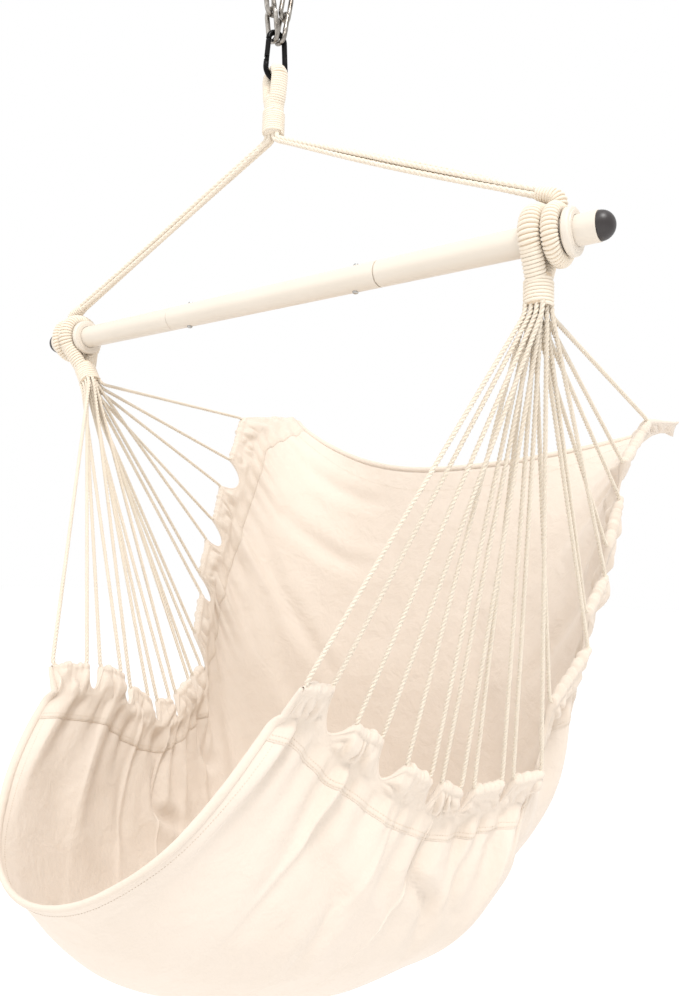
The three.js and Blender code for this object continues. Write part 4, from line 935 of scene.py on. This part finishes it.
# %% Cords
INTO_NECK, SMOOTHING = 3, 14
strands = []
for word, side in SIDES.items():
    for tab in range(10):
        route = cord_route(tab, side)
        for k in (0, -1):
            route[k] = route[k] - neck(side)[1] * INTO_NECK
        even = np.array(even_points(rounded(route, CORD_BENDS, 6), 2.2))
        points = [Vector(p) for p in smoothed(even, SMOOTHING)]
        length = float(travelled(np.array(points))[-1] / MM)
        cord = swept(f"{word}_strand_{tab + 1:02d}", points, CORD / 2 + 0.1, lobes=0.8, lay=17)
        dress(cord, ROPE, "seat", "cotton_rope", f"{word}_cord_{tab + 1:02d}")
        strands.append((cord, [tuple(map(float, p)) for p in points], length))
        print(f"{word} cord {tab + 1}: {length:.0f} mm")

# %% [markdown]
# ## The cloth's surface
# The sheet hangs between two sewn side edges and sags along a middle line. Rows run across it from one edge
# to the other. Each row is a blend between a slack curve and half an ellipse, which is how a full hammock
# seat sits low in the middle. The rows come from the same corners as the cords and are then drawn smooth.

# %% Rows of the sheet
TAB_HEIGHT, SEAM_TURN, CREASE_TAB, LAST_ROW = 40, 0.45, 5, 0.45
MIDDLE_LINE = [(-0.623, 0.745), (-0.43, 0.85), (-0.09, 0.935), (0.21, 0.968), (0.55, 0.92), (0.77, 0.77),
               (0.85, 0.58), (0.9, 0.38), (0.925, 0.193)]


def between(t, t0, t1, p0, p1):
    return ((t1 - t) * p0 + (t - t0) * p1) / (t1 - t0)


def centripetal(points, per_span):
    """A smooth curve through points, with its samples, as a chain of Catmull-Rom spans."""
    points = [2 * points[0] - points[1], *points, 2 * points[-1] - points[-2]]
    line = []
    for p in zip(points, points[1:], points[2:], points[3:]):
        k = np.concatenate([[0], np.cumsum([math.sqrt(np.linalg.norm(b - a)) for a, b in zip(p, p[1:])])])
        for t in np.linspace(k[1], k[2], per_span, endpoint=False):
            a = [between(t, k[i], k[i + 1], p[i], p[i + 1]) for i in range(3)]
            b = [between(t, k[i], k[i + 2], a[i], a[i + 1]) for i in range(2)]
            line.append(between(t, k[1], k[2], *b))
    return np.array(line + [points[-2]])


MIDDLE = centripetal([np.array([0, y * REACH, -d * DROP]) for y, d in MIDDLE_LINE], 60)
MIDDLE_LENGTH = travelled(MIDDLE)


def middle_at(way):
    return read_at(np.asarray(way) * MIDDLE_LENGTH[-1], MIDDLE_LENGTH, MIDDLE)


def sheet_rows(side):
    """The sheet's rows at one edge: their places, the sleeve of each (-1 for none) and their travel."""
    corners = [edge_corner(shares, side) for shares in [*CORD_CORNERS, FREE_CORNER]]
    points, tabs = [], []
    for tab in range(10):
        start, end, span, enter, leave = sleeve_span(tab, side)
        points += [start + (end - start) * mark / span for mark in (enter, (enter + leave) / 2, leave)]
        tabs += [tab] * 3
        if tab == CREASE_TAB:
            points.append((end + corners[tab * 2 + 2]) / 2)
            tabs.append(-1)
    points += [corners[-2] + (corners[-1] - corners[-2]) * LAST_ROW, corners[-1]]
    points = np.array(points)
    far = travelled(points)
    return points, tabs + [-1, -1], far / far[-1]


ROWS = {side: sheet_rows(side) for side in (1, -1)}
ROW_COUNT = len(ROWS[1][0])
WAY = (ROWS[1][2] + ROWS[-1][2]) / 2
SEAM = {}
for side in (1, -1):
    points = ROWS[side][0]
    pull, towards = unit_rows(points - neck(side)[0]), unit_rows(middle_at(WAY) - points)
    SEAM[side] = points + unit_rows(pull * (1 - SEAM_TURN) + towards * SEAM_TURN) * TAB_HEIGHT
print("rows", ROW_COUNT)

# %% [markdown]
# ### A smooth sheet
# The rows give the sheet only at a few dozen places. A cubic through neighbouring rows gives every place
# between them, so the cloth is one smooth surface before any fold is laid on it.

# %% Smooth surface
FULLNESS = [0.75, 0.8, 0.8, 0.8, 0.7, 0.5, 0.3, 0.15, 0]


def smooth_rows(values, rows):
    """Values given at whole rows, read at any row by a cubic through its neighbours."""
    values = np.asarray(values, float)
    padded = np.concatenate([[2 * values[0] - values[1]], values, [2 * values[-1] - values[-2]]])
    rows = np.clip(rows, 0, len(values) - 1)
    i = np.minimum(np.floor(rows).astype(int), len(values) - 2)
    t = (rows - i)[..., None] if values.ndim > 1 else rows - i
    p0, p1, p2, p3 = (padded[i + k] for k in range(4))
    m1, m2 = (p2 - p0) * 0.4, (p3 - p1) * 0.4
    return ((2 * t ** 3 - 3 * t ** 2 + 1) * p1 + (t ** 3 - 2 * t ** 2 + t) * m1
            + (-2 * t ** 3 + 3 * t ** 2) * p2 + (t ** 3 - t ** 2) * m2)


def sheet_points(rows, across):
    """Points of the sheet without folds. across runs from -1 at the left seam to 1 at the right one."""
    rows, across = np.meshgrid(rows, across, indexing="ij")
    way = smooth_rows(WAY, rows)
    middle = middle_at(way)
    seam = np.where((across < 0)[..., None], smooth_rows(SEAM[-1], rows), smooth_rows(SEAM[1], rows))
    fullness = np.interp(way, np.linspace(0, 1, len(FULLNESS)), FULLNESS)
    u = np.abs(across)
    spread = (1 - fullness) * u + fullness * np.sin(u * math.pi / 2)
    rise = (1 - fullness) * u ** 2 + fullness * (1 - np.cos(u * math.pi / 2))
    return middle + (seam - middle) * np.stack([spread, rise, rise], -1)


def normals_of(points):
    return unit_rows(np.cross(np.gradient(points, axis=0), np.gradient(points, axis=1)))


FINE_ROWS = np.linspace(0, ROW_COUNT - 1, 401)
even_across = np.linspace(-1, 1, 113)
FINE_ACROSS = np.sign(even_across) * (1 - (1 - np.abs(even_across)) ** 1.35)
BASE = sheet_points(FINE_ROWS, FINE_ACROSS)
BASE_NORMAL = normals_of(BASE)
print("sheet", BASE.shape)

# %% [markdown]
# ## Folds
# Three kinds of fold lie in this cloth. Small pleats start in the gathered sleeves and fade within a hand's
# width. A wider hollow follows every gap between two sleeves, because the cloth is pulled only where cords
# hold it. A few long creases cross the seat and the back where the cloth was folded or is slack.

# %% Fold heights
def soft(values, scale, seed):
    """Smooth noise along one line, the same each run."""
    return np.array([noise.noise(Vector((v * scale, seed * 7.13, seed * 1.7))) for v in values])


tabs = ROWS[1][1]
SMALL_WAVE, SMALL_HEIGHT, WIDE_WAVE, WIDE_HEIGHT, HOLLOW = 17.0, 1.5, 39.0, 3.4, 7.5
GATHER = [1.0 if 0 < i < ROW_COUNT - 1 and tabs[i - 1] == tab == tabs[i + 1] != -1 else -1.0
          for i, tab in enumerate(tabs)]
distance = {side: np.linalg.norm(BASE - smooth_rows(SEAM[side], FINE_ROWS)[:, None], axis=-1)
            for side in (1, -1)}


def pleats(side):
    """Small pleats at the sleeves, wider ones below them, and a hollow under each gap between two sleeves."""
    travel, far_in = travelled(smooth_rows(SEAM[side], FINE_ROWS)), distance[side]
    turns = travel * 2 * math.pi
    small = np.sin(turns / SMALL_WAVE + 3.2 * soft(travel, 0.012, 3 + side)) * SMALL_HEIGHT
    medium = np.sin(turns / WIDE_WAVE + 4.0 * soft(travel, 0.009, 9 + side)) * WIDE_HEIGHT
    depth = side * HOLLOW * (0.6 + 0.8 * soft(travel, 0.006, 15 + side))
    gaps = smoothed(smooth_rows(GATHER, FINE_ROWS), 30) * depth
    return (small[:, None] * np.exp(-far_in / 26.0) + medium[:, None] * np.exp(-((far_in - 30) / 62.0) ** 2)
            + gaps[:, None] * np.exp(-((far_in - 55) / 110.0) ** 2))


print("pleats run along", round(float(travelled(SEAM[1])[-1])), "mm of seam on the right")

# %% [markdown]
# ### Creases
# Most creases run from the edge towards the middle, where the cloth is pulled by one cord more than by the
# next. Each is a low ridge with a shallow trough beside it, or the other way round. It is strongest in its
# middle and laid along a line on the sheet.

# %% Creases
# Each one: row and across of both ends, then half width and depth in mm, positive away from the sitter
CREASES = [
    (8.5, -0.97, 12.4, -0.66, 13, 15), (2.6, -0.98, 5.5, -0.57, 24, -8), (14.5, -0.97, 17.8, -0.76, 12, 11),
    (11.4, -0.97, 14.0, -0.72, 14, -7), (5.5, -0.96, 8.5, -0.6, 15, 5), (28.0, -0.93, 29.6, -0.3, 17, 4.5),
    (27.6, -0.93, 25.4, -0.4, 16, 5), (25.5, -0.95, 22.3, -0.5, 16, -4.5), (20.5, -0.95, 18.0, -0.5, 15, 6),
    (30.8, -0.9, 31.2, -0.3, 16, 4), (9.0, 0.97, 13.6, 0.58, 14, -11), (4.4, 0.9, 7.4, 0.48, 15, -8),
    (5.6, 0.95, 9.5, 0.62, 14, 6), (11.5, 0.97, 14.6, 0.68, 13, -7), (2.4, 0.95, 4.6, 0.55, 18, -5),
    (14.4, 0.97, 16.4, 0.74, 12, 7), (17.6, 0.97, 18.6, 0.66, 14, -8), (20.4, 0.97, 19.6, 0.6, 14, 6),
    (24.5, 0.97, 22.4, 0.55, 15, -6), (28.2, 0.95, 25.6, 0.5, 15, 5), (29.0, 0.2, 22.0, 0.35, 30, 4),
    (12.0, -0.1, 9.0, -0.45, 26, 4), (13.0, 0.2, 16.5, -0.25, 28, -4),
]


def crease_field():
    field = np.zeros(BASE.shape[:2])
    steps = np.linspace(0, 1, 40)
    bow = np.sin(steps * math.pi) * 0.02
    for row, across, last_row, last_across, half, depth in CREASES:
        line = [sheet_points([row + (last_row - row) * t], [across + (last_across - across) * t + b])[0, 0]
                for t, b in zip(steps, bow)]
        gaps = np.stack([np.linalg.norm(BASE - p, axis=-1) for p in line])
        gap, where = gaps.min(0), steps[gaps.argmin(0)]
        taper = np.sin(np.clip(where * 0.9 + 0.03, 0, 1) * math.pi) ** 0.8
        ridge = np.exp(-(gap / half) ** 2) - 0.45 * np.exp(-((gap - half * 1.7) / (half * 1.1)) ** 2)
        field += depth * taper * ridge
    return field


print("creases", len(CREASES))

# %% [markdown]
# ### The folded sheet
# Washed cotton is never quite even, so a slow and a quick wave are added, and on its right side, a little
# behind the middle, the cloth bulges as the photograph shows. All of it fades to nothing at the seams,
# which stay where the edge strips meet them.

# %% The folded sheet
def unevenness(place):
    """A slow wave of 3.2 mm and a quicker one of 1.3 mm over the whole cloth."""
    p = Vector(place) * MM
    return noise.noise(p * 5.0) * 3.2 + noise.noise(p * 14.0 + Vector((3, 1, 7))) * 1.3


FULL_ROW, FULL_ACROSS, FULL_BULGE, HELD_BAND = 18.4, 0.68, 13, 14.0
full_side = FULL_BULGE * (np.exp(-((FINE_ROWS - FULL_ROW) / 4.2) ** 2)[:, None]
                          * np.exp(-((FINE_ACROSS - FULL_ACROSS) / 0.27) ** 2)[None, :])
edge_hold = np.clip(np.minimum(distance[1], distance[-1]) / HELD_BAND, 0, 1)
uneven = np.array([[unevenness(p) for p in row] for row in BASE])
HEIGHT = (pleats(1) + pleats(-1) + crease_field() + uneven + full_side) * edge_hold
CLOTH = BASE + BASE_NORMAL * HEIGHT[..., None]
CLOTH_NORMAL = normals_of(CLOTH)
print("folds from", round(float(HEIGHT.min()), 1), "to", round(float(HEIGHT.max()), 1), "mm")

# %% [markdown]
# ## Seat cloth
# The sheet is a grid with its points placed on the folded surface. Its UV map gives every point's place on
# the flat cloth in metres, so the weave keeps its scale. Solidify gives it a thread's thickness.

# %% Seat cloth
row_gap = np.linalg.norm(np.diff(CLOTH, axis=0), axis=-1).mean(axis=1)
column_gap = np.linalg.norm(np.diff(CLOTH, axis=1), axis=-1)
flat_v = np.concatenate([[0], np.cumsum(row_gap)])
flat_u = np.concatenate([np.zeros((CLOTH.shape[0], 1)), np.cumsum(column_gap, axis=1)], axis=1)
flat_u -= flat_u[:, -1:] / 2
FLAT = np.stack(np.broadcast_arrays(flat_u, flat_v[:, None]), -1)
seat = grid_piece("seat_sheet", CLOTH, FLAT, thickness=1.0)
dress(seat, CANVAS, "seat", "cotton_canvas", "seat_cloth")

# %% [markdown]
# ## Sleeves
# Along each side edge the cloth is cut into tabs. Every tab is turned over its cord and sewn down, so it
# becomes a soft sleeve that bunches up on the cord. A section goes up the outside, round the cord and down
# the inside, and its pleats are strongest at the cord and die away towards the double seam.

# %% Lines on the sheet near its side seams
def inset_line(side, depth, face):
    """Where the sheet lies at a depth in from a side seam, at every fine row, and one face's normal."""
    middle = CLOTH.shape[1] // 2
    columns = np.arange(CLOTH.shape[1])[middle:] if side > 0 else np.arange(CLOTH.shape[1])[middle::-1]
    line, lift = [], []
    for i in range(CLOTH.shape[0]):
        spot = np.interp(-depth, -distance[side][i, columns], columns.astype(float))
        low = min(int(spot), CLOTH.shape[1] - 2)
        t = spot - low
        line.append(CLOTH[i, low] * (1 - t) + CLOTH[i, low + 1] * t)
        lift.append(CLOTH_NORMAL[i, low] * face)
    return np.array(line), np.array(lift)


print("points along a side seam", len(inset_line(1, 0, 1)[0]))

# %% [markdown]
# ### Along the edge
# The edge rises to full height at each sleeve and falls to a notch between two cords. The cloth is gathered
# on the cord, so it stands out in rounded puffs with narrow creases between them. Noise folded at zero has
# that look.

# %% Along the edge
NOTCH_SHARPNESS = {1: 1.45, -1: 1.9}


def puffs(marks, height, scale, seed):
    """Rounded puffs from 0 to about 1 with narrow creases between them, leaning differently in each place."""
    leans = [noise.noise(Vector((m * 0.013, seed * 3.1, 5))) * height * 3.4 for m in marks]
    spots = [(m * scale + lean, height * 0.9, seed * 1.9) for m, lean in zip(marks, leans)]
    return np.array([min(1, 2.1 * abs(noise.noise(Vector(spot)))) for spot in spots])


def edge_samples(side):
    """Along the cords' line to the free corner: places, rows, travel, height and crown shares."""
    corners = np.array([edge_corner(shares, side) for shares in [*CORD_CORNERS, FREE_CORNER]])
    far, tabs = travelled(corners), ROWS[side][1]
    knots, stretches = [], []
    for tab in range(10):
        start, end = far[tab * 2:tab * 2 + 2]
        _, _, span, enter, leave = sleeve_span(tab, side)
        first = tabs.index(tab)
        knots += [(start + mark, first + k) for k, mark in enumerate((enter, (enter + leave) / 2, leave))]
        share = np.linspace(0, 1, 48)[:-1]
        pinch = np.exp(-np.minimum(share, 1 - share) * span / 5.0)
        stretches.append((start + share * span, np.ones(len(share)), 1 - 0.4 * pinch))
        if tab == CREASE_TAB:
            knots.append(((end + far[tab * 2 + 2]) / 2, first + 3))
        if tab < 9:
            share = np.linspace(0, 1, 19)[:-1]
            valley = np.abs(2 * share - 1)
            notch = 0.2 + 0.8 * valley ** NOTCH_SHARPNESS[side]
            low_crown = 0.6 * np.clip((valley - 0.35) / 0.65, 0, 1) ** 1.5
            stretches.append((end + share * (far[tab * 2 + 2] - end), notch, low_crown))
    share = np.linspace(0, 1, 26)
    last, free = far[-2:]
    stretches.append((last + share * (free - last), np.ones(len(share)), 0.6 * (1 - share) ** 2))
    knots += [(last + (free - last) * LAST_ROW, len(tabs) - 2), (free, len(tabs) - 1)]
    marks, height, crown = (np.concatenate(column) for column in zip(*stretches))
    return read_at(marks, far, corners), np.interp(marks, *zip(*knots)), marks, height, crown


print("samples along the right edge", len(edge_samples(1)[2]))

# %% [markdown]
# ### Edge strips
# One strip of cloth holds all ten sleeves of a side. It could be made sleeve by sleeve, but then the seams
# between them would show. So one section, up the outside, round the cord and down the inside, runs along
# the whole edge.

# %% Edge strips with their sleeves
FACING, RUFFLE = {1: 32, -1: 40}, {1: 11, -1: 5}
ROUND_CORD, THIN_R, CROWN_R, BUNCH_R, BUNCH_UP, PUFF_OUT = math.radians(125), 1.5, 4.4, 2.6, 3.0, 8.4


def edge_strip(side):
    line, rows, marks, height, crown = edge_samples(side)
    foot = smooth_rows(SEAM[side], rows)
    upward = smoothed(unit_rows(line - foot), 4)
    across = unit_rows(np.cross(upward, unit_rows(smoothed(np.gradient(line, axis=0), 12))))
    depths = [0.5] + [FACING[side] * k for k in (0.2, 0.4, 0.6, 0.8, 0.97, 1)]
    facing = {face: [inset_line(side, depth, face) for depth in depths] for face in (1, -1)}
    sheet_row = rows / (ROW_COUNT - 1) * (len(CLOTH) - 1)

    def on_sheet(values):
        return read_at(sheet_row, np.arange(len(CLOTH)), values)

    if (across * on_sheet(facing[1][0][1])).sum() < 0:
        across = -across
    reach = np.linalg.norm(line - foot, axis=1) * height
    held = np.clip((height - 0.3) / 0.5, 0, 1)
    bunched = 0.5 * puffs(marks, 0.6, 0.085, 21 + side) + 0.5 * puffs(marks, 0.6, 0.19, 25 + side)
    mouth = np.clip(marks / 16, 0.12, 1) ** 0.7
    radius = THIN_R + (CROWN_R * crown + crown * BUNCH_R * bunched) * mouth
    top = reach - 1.6 * crown + crown * (BUNCH_UP * bunched + 2.6 * soft(marks, 0.1, 41 + side))
    loose = held * RUFFLE[side] * np.clip((marks / marks[-1] - 0.35) / 0.3, 0.25, 1)
    base_radius, base_top = radius * math.sin(ROUND_CORD), top + radius * math.cos(ROUND_CORD)
    legs = {}
    for face in (-1, 1):
        leg = [(on_sheet(spots) + on_sheet(lifts) * (1.1 if depth < FACING[side] else 0.2), -depth)
               for depth, (spots, lifts) in zip(depths, facing[face])][::-1]
        for k in np.linspace(0, 1, 12)[1:-1]:
            close = k ** 1.9
            swell = math.sin(math.pi * min(1, k * 0.9 + 0.05))
            wide = 1.1 * (1 - close) + base_radius * close
            puffed = PUFF_OUT * puffs(marks, k, 0.06, 51 + side * 2 + face) - 0.2
            wide = (wide + held * swell * puffed) * mouth
            twist = loose * swell * soft(marks + 14 * k, 0.032, 61 + side)
            spots = foot + upward * (base_top * k)[:, None] + across * (face * wide + twist)[:, None]
            leg.append((spots, TAB_HEIGHT * k))
        legs[face] = leg
    over = [(foot + upward * (top + radius * math.cos(a))[:, None] + across * (radius * math.sin(a))[:, None],
             48 + math.degrees(a) / 14) for a in np.linspace(-ROUND_CORD, ROUND_CORD, 13)]
    section = legs[-1] + over + [(spots, 96 - far) for spots, far in legs[1][::-1]]
    flat = np.stack(np.broadcast_arrays(marks[:, None], np.array([far for _, far in section])), -1)
    return np.stack([spots for spots, _ in section], 1), flat, line


MOUTHS, TIPS, sewn_on = {}, {}, []
for word, side in SIDES.items():
    place, flat, line = edge_strip(side)
    strip = grid_piece(word + "_edge_strip", place, flat, thickness=0.9)
    dress(strip, CANVAS_EDGE, "seat", "cotton_canvas", word + "_cord_sleeves")
    sewn_on.append(strip)
    MOUTHS[side], TIPS[side] = line[0], line[-1]
print("edge strips ready", place.shape)

# %% [markdown]
# ## Hems
# The front and the back edge are rolled over and sewn. The roll is a soft tube, a little flattened and
# uneven. It follows the folded edge of the sheet and goes on up the ends of the edge strips.

# %% Hems
END_STEPS, END_SHARE, OUT_SHARE = 8, 0.55, 0.72


def hem(name, row, inner, half_wide, half_thick, node, ends):
    """A roll along one row of the cloth and on to the two ends of the edge strips, thinner at both ends."""
    steps = np.linspace(1, 0, END_STEPS + 1)[:-1, None]
    inward = np.pad(CLOTH[inner] - CLOTH[row], ((END_STEPS, END_STEPS), (0, 0)), mode="edge")
    left, right = CLOTH[row][0], CLOTH[row][-1]
    on_left, on_right = left + (ends[-1] - left) * steps, right + (ends[1] - right) * steps[::-1]
    edge = np.concatenate([on_left, CLOTH[row], on_right])
    rise = np.linspace(END_SHARE, 1, END_STEPS)
    fade = np.concatenate([rise, np.ones(len(CLOTH[row])), rise[::-1]])
    ahead = unit_rows(smoothed(np.gradient(edge, axis=0), 3))
    out = unit_rows(-(inward - ahead * (inward * ahead).sum(1)[:, None]))
    thick = np.cross(ahead, out)
    travel = travelled(edge)
    uneven = (1 + 0.09 * soft(travel, 0.03, row + 5) + 0.05 * soft(travel, 0.12, row + 2)) * fade
    around = np.linspace(0, 2 * math.pi, 17)
    middle = edge + out * (half_wide * OUT_SHARE * fade)[:, None]
    rings = np.stack([middle + out * (half_wide * math.cos(a) * uneven)[:, None]
                      + thick * (half_thick * math.sin(a) * uneven)[:, None] for a in around], 1)
    flat = np.stack(np.broadcast_arrays(np.pad(travel, 1, mode="edge")[:, None], around * 5), -1)
    piece = tube_piece(name, rings, middle, flat)
    dress(piece, CANVAS_EDGE, "seat", "cotton_canvas", node)
    sewn_on.append(piece)


hem("front_roll", 0, 6, 5.4, 3.6, "front_hem", MOUTHS)
hem("back_roll", -1, -7, 5.0, 3.4, "back_hem", TIPS)
print("hems ready")

# %% [markdown]
# ## Stitches
# A double row of stitches holds the edge band, and a single one holds each hem. Every stitch is a tiny
# spindle of thread lying on the cloth, with eight faces only, because there are thousands of them.

# %% Stitches
def stitch_row(bm, line, lift, length=2.6, gap=1.0, radius=0.38):
    travel = travelled(line)
    marks = np.arange(2, travel[-1] - 2, length + gap)
    for a, b, n in zip(read_at(marks, travel, line), read_at(marks + length, travel, line),
                       read_at(marks, travel, lift)):
        beside, middle = unit(np.cross(unit(b - a), n)), (a + b) / 2 + n * 0.25
        first, last = (bm.verts.new(at(*p)) for p in (a, b))
        ring = [bm.verts.new(at(*(middle + step * radius))) for step in (beside, n, -beside, -n)]
        for one, two in zip(ring, ring[1:] + ring[:1]):
            bm.faces.new((first, two, one))
            bm.faces.new((last, one, two))


BAND_ROWS, HEM_ROW = (8, 2.5), 5
bm = bmesh.new()
for side in (1, -1):
    for from_edge in BAND_ROWS:
        for face in (1, -1):
            line, lift = inset_line(side, FACING[side] - from_edge, face)
            stitch_row(bm, line + lift * 1.6, lift)
for row in (HEM_ROW, -1 - HEM_ROW):
    for sign in (1, -1):
        stitch_row(bm, CLOTH[row] + BASE_NORMAL[row] * sign * 0.55, BASE_NORMAL[row] * sign)
stitches = from_bmesh("stitches", bm)
dress(stitches, THREAD, "seat", "cotton_canvas")
print("stitches ready", len(stitches.data.polygons), "faces")

# %% [markdown]
# ## Cord lengths
# The cords and the sheet are soft. Each cord's length is rounded here, in metres, to a tenth of a millimetre.

# %% Cord lengths
for piece, points, length in strands:
    round(length * MM, 4)

# %% [markdown]
# ## Floor and light
# A pale floor lies under the chair, far enough below it to stay plain. A large soft key light stands high
# in front on the right, a weak fill in front on the left and another over the camera, all inside a white
# surround, as in a picture taken for sale.

# %% Floor, lights and surround
FLOOR_DROP, FLOOR_HALF = 1.42, 30
bm = bmesh.new()
bmesh.ops.create_grid(bm, x_segments=1, y_segments=1, size=FLOOR_HALF)
bmesh.ops.translate(bm, vec=(0, 0, BAR_Z - FLOOR_DROP), verts=bm.verts)
floor = from_bmesh("floor", bm)
floor_finish = Finish("floor_paint", Roughness=0.9, Specular_IOR_Level=0.1, Emission_Color=(1, 1, 1, 1),
                      Emission_Strength=0.1)
speck = floor_finish.noise(floor_finish.coordinates(), 3.0, 2.0)
floor_finish.feed(Base_Color=floor_finish.mix(speck, linear(244, 244, 244), linear(247, 247, 247)))
floor.data.materials.append(floor_finish.material)


def area_light(name, place, aim, size, power, colour=(1, 1, 1)):
    light = bpy.data.lights.new(name, "AREA")
    light.shape, light.size, light.size_y = "RECTANGLE", size, size
    light.energy, light.color = power, colour
    holder = in_scene(name, light)
    holder.location = place
    holder.rotation_euler = (Vector(aim) - Vector(place)).to_track_quat("-Z", "Y").to_euler()


aim = (0, 0, BAR_Z - 0.5)
area_light("key", (2.7, -2.16, BAR_Z + 4.54), aim, 1.8, 236, (1, 0.99, 0.975))
area_light("fill", (-1.6, -2.4, BAR_Z + 0.9), aim, 1.4, 9)
area_light("front", (0.2, -2.4, BAR_Z + 1.9), aim, 1.2, 8)
world = bpy.data.worlds.new("surround")
world.use_nodes = True
white = world.node_tree.nodes["Background"]
white.inputs[0].default_value, white.inputs[1].default_value = (1, 1, 1, 1), 1.0
bpy.context.scene.world = world
bpy.context.scene.view_settings.view_transform = "Standard"
print("lights ready")
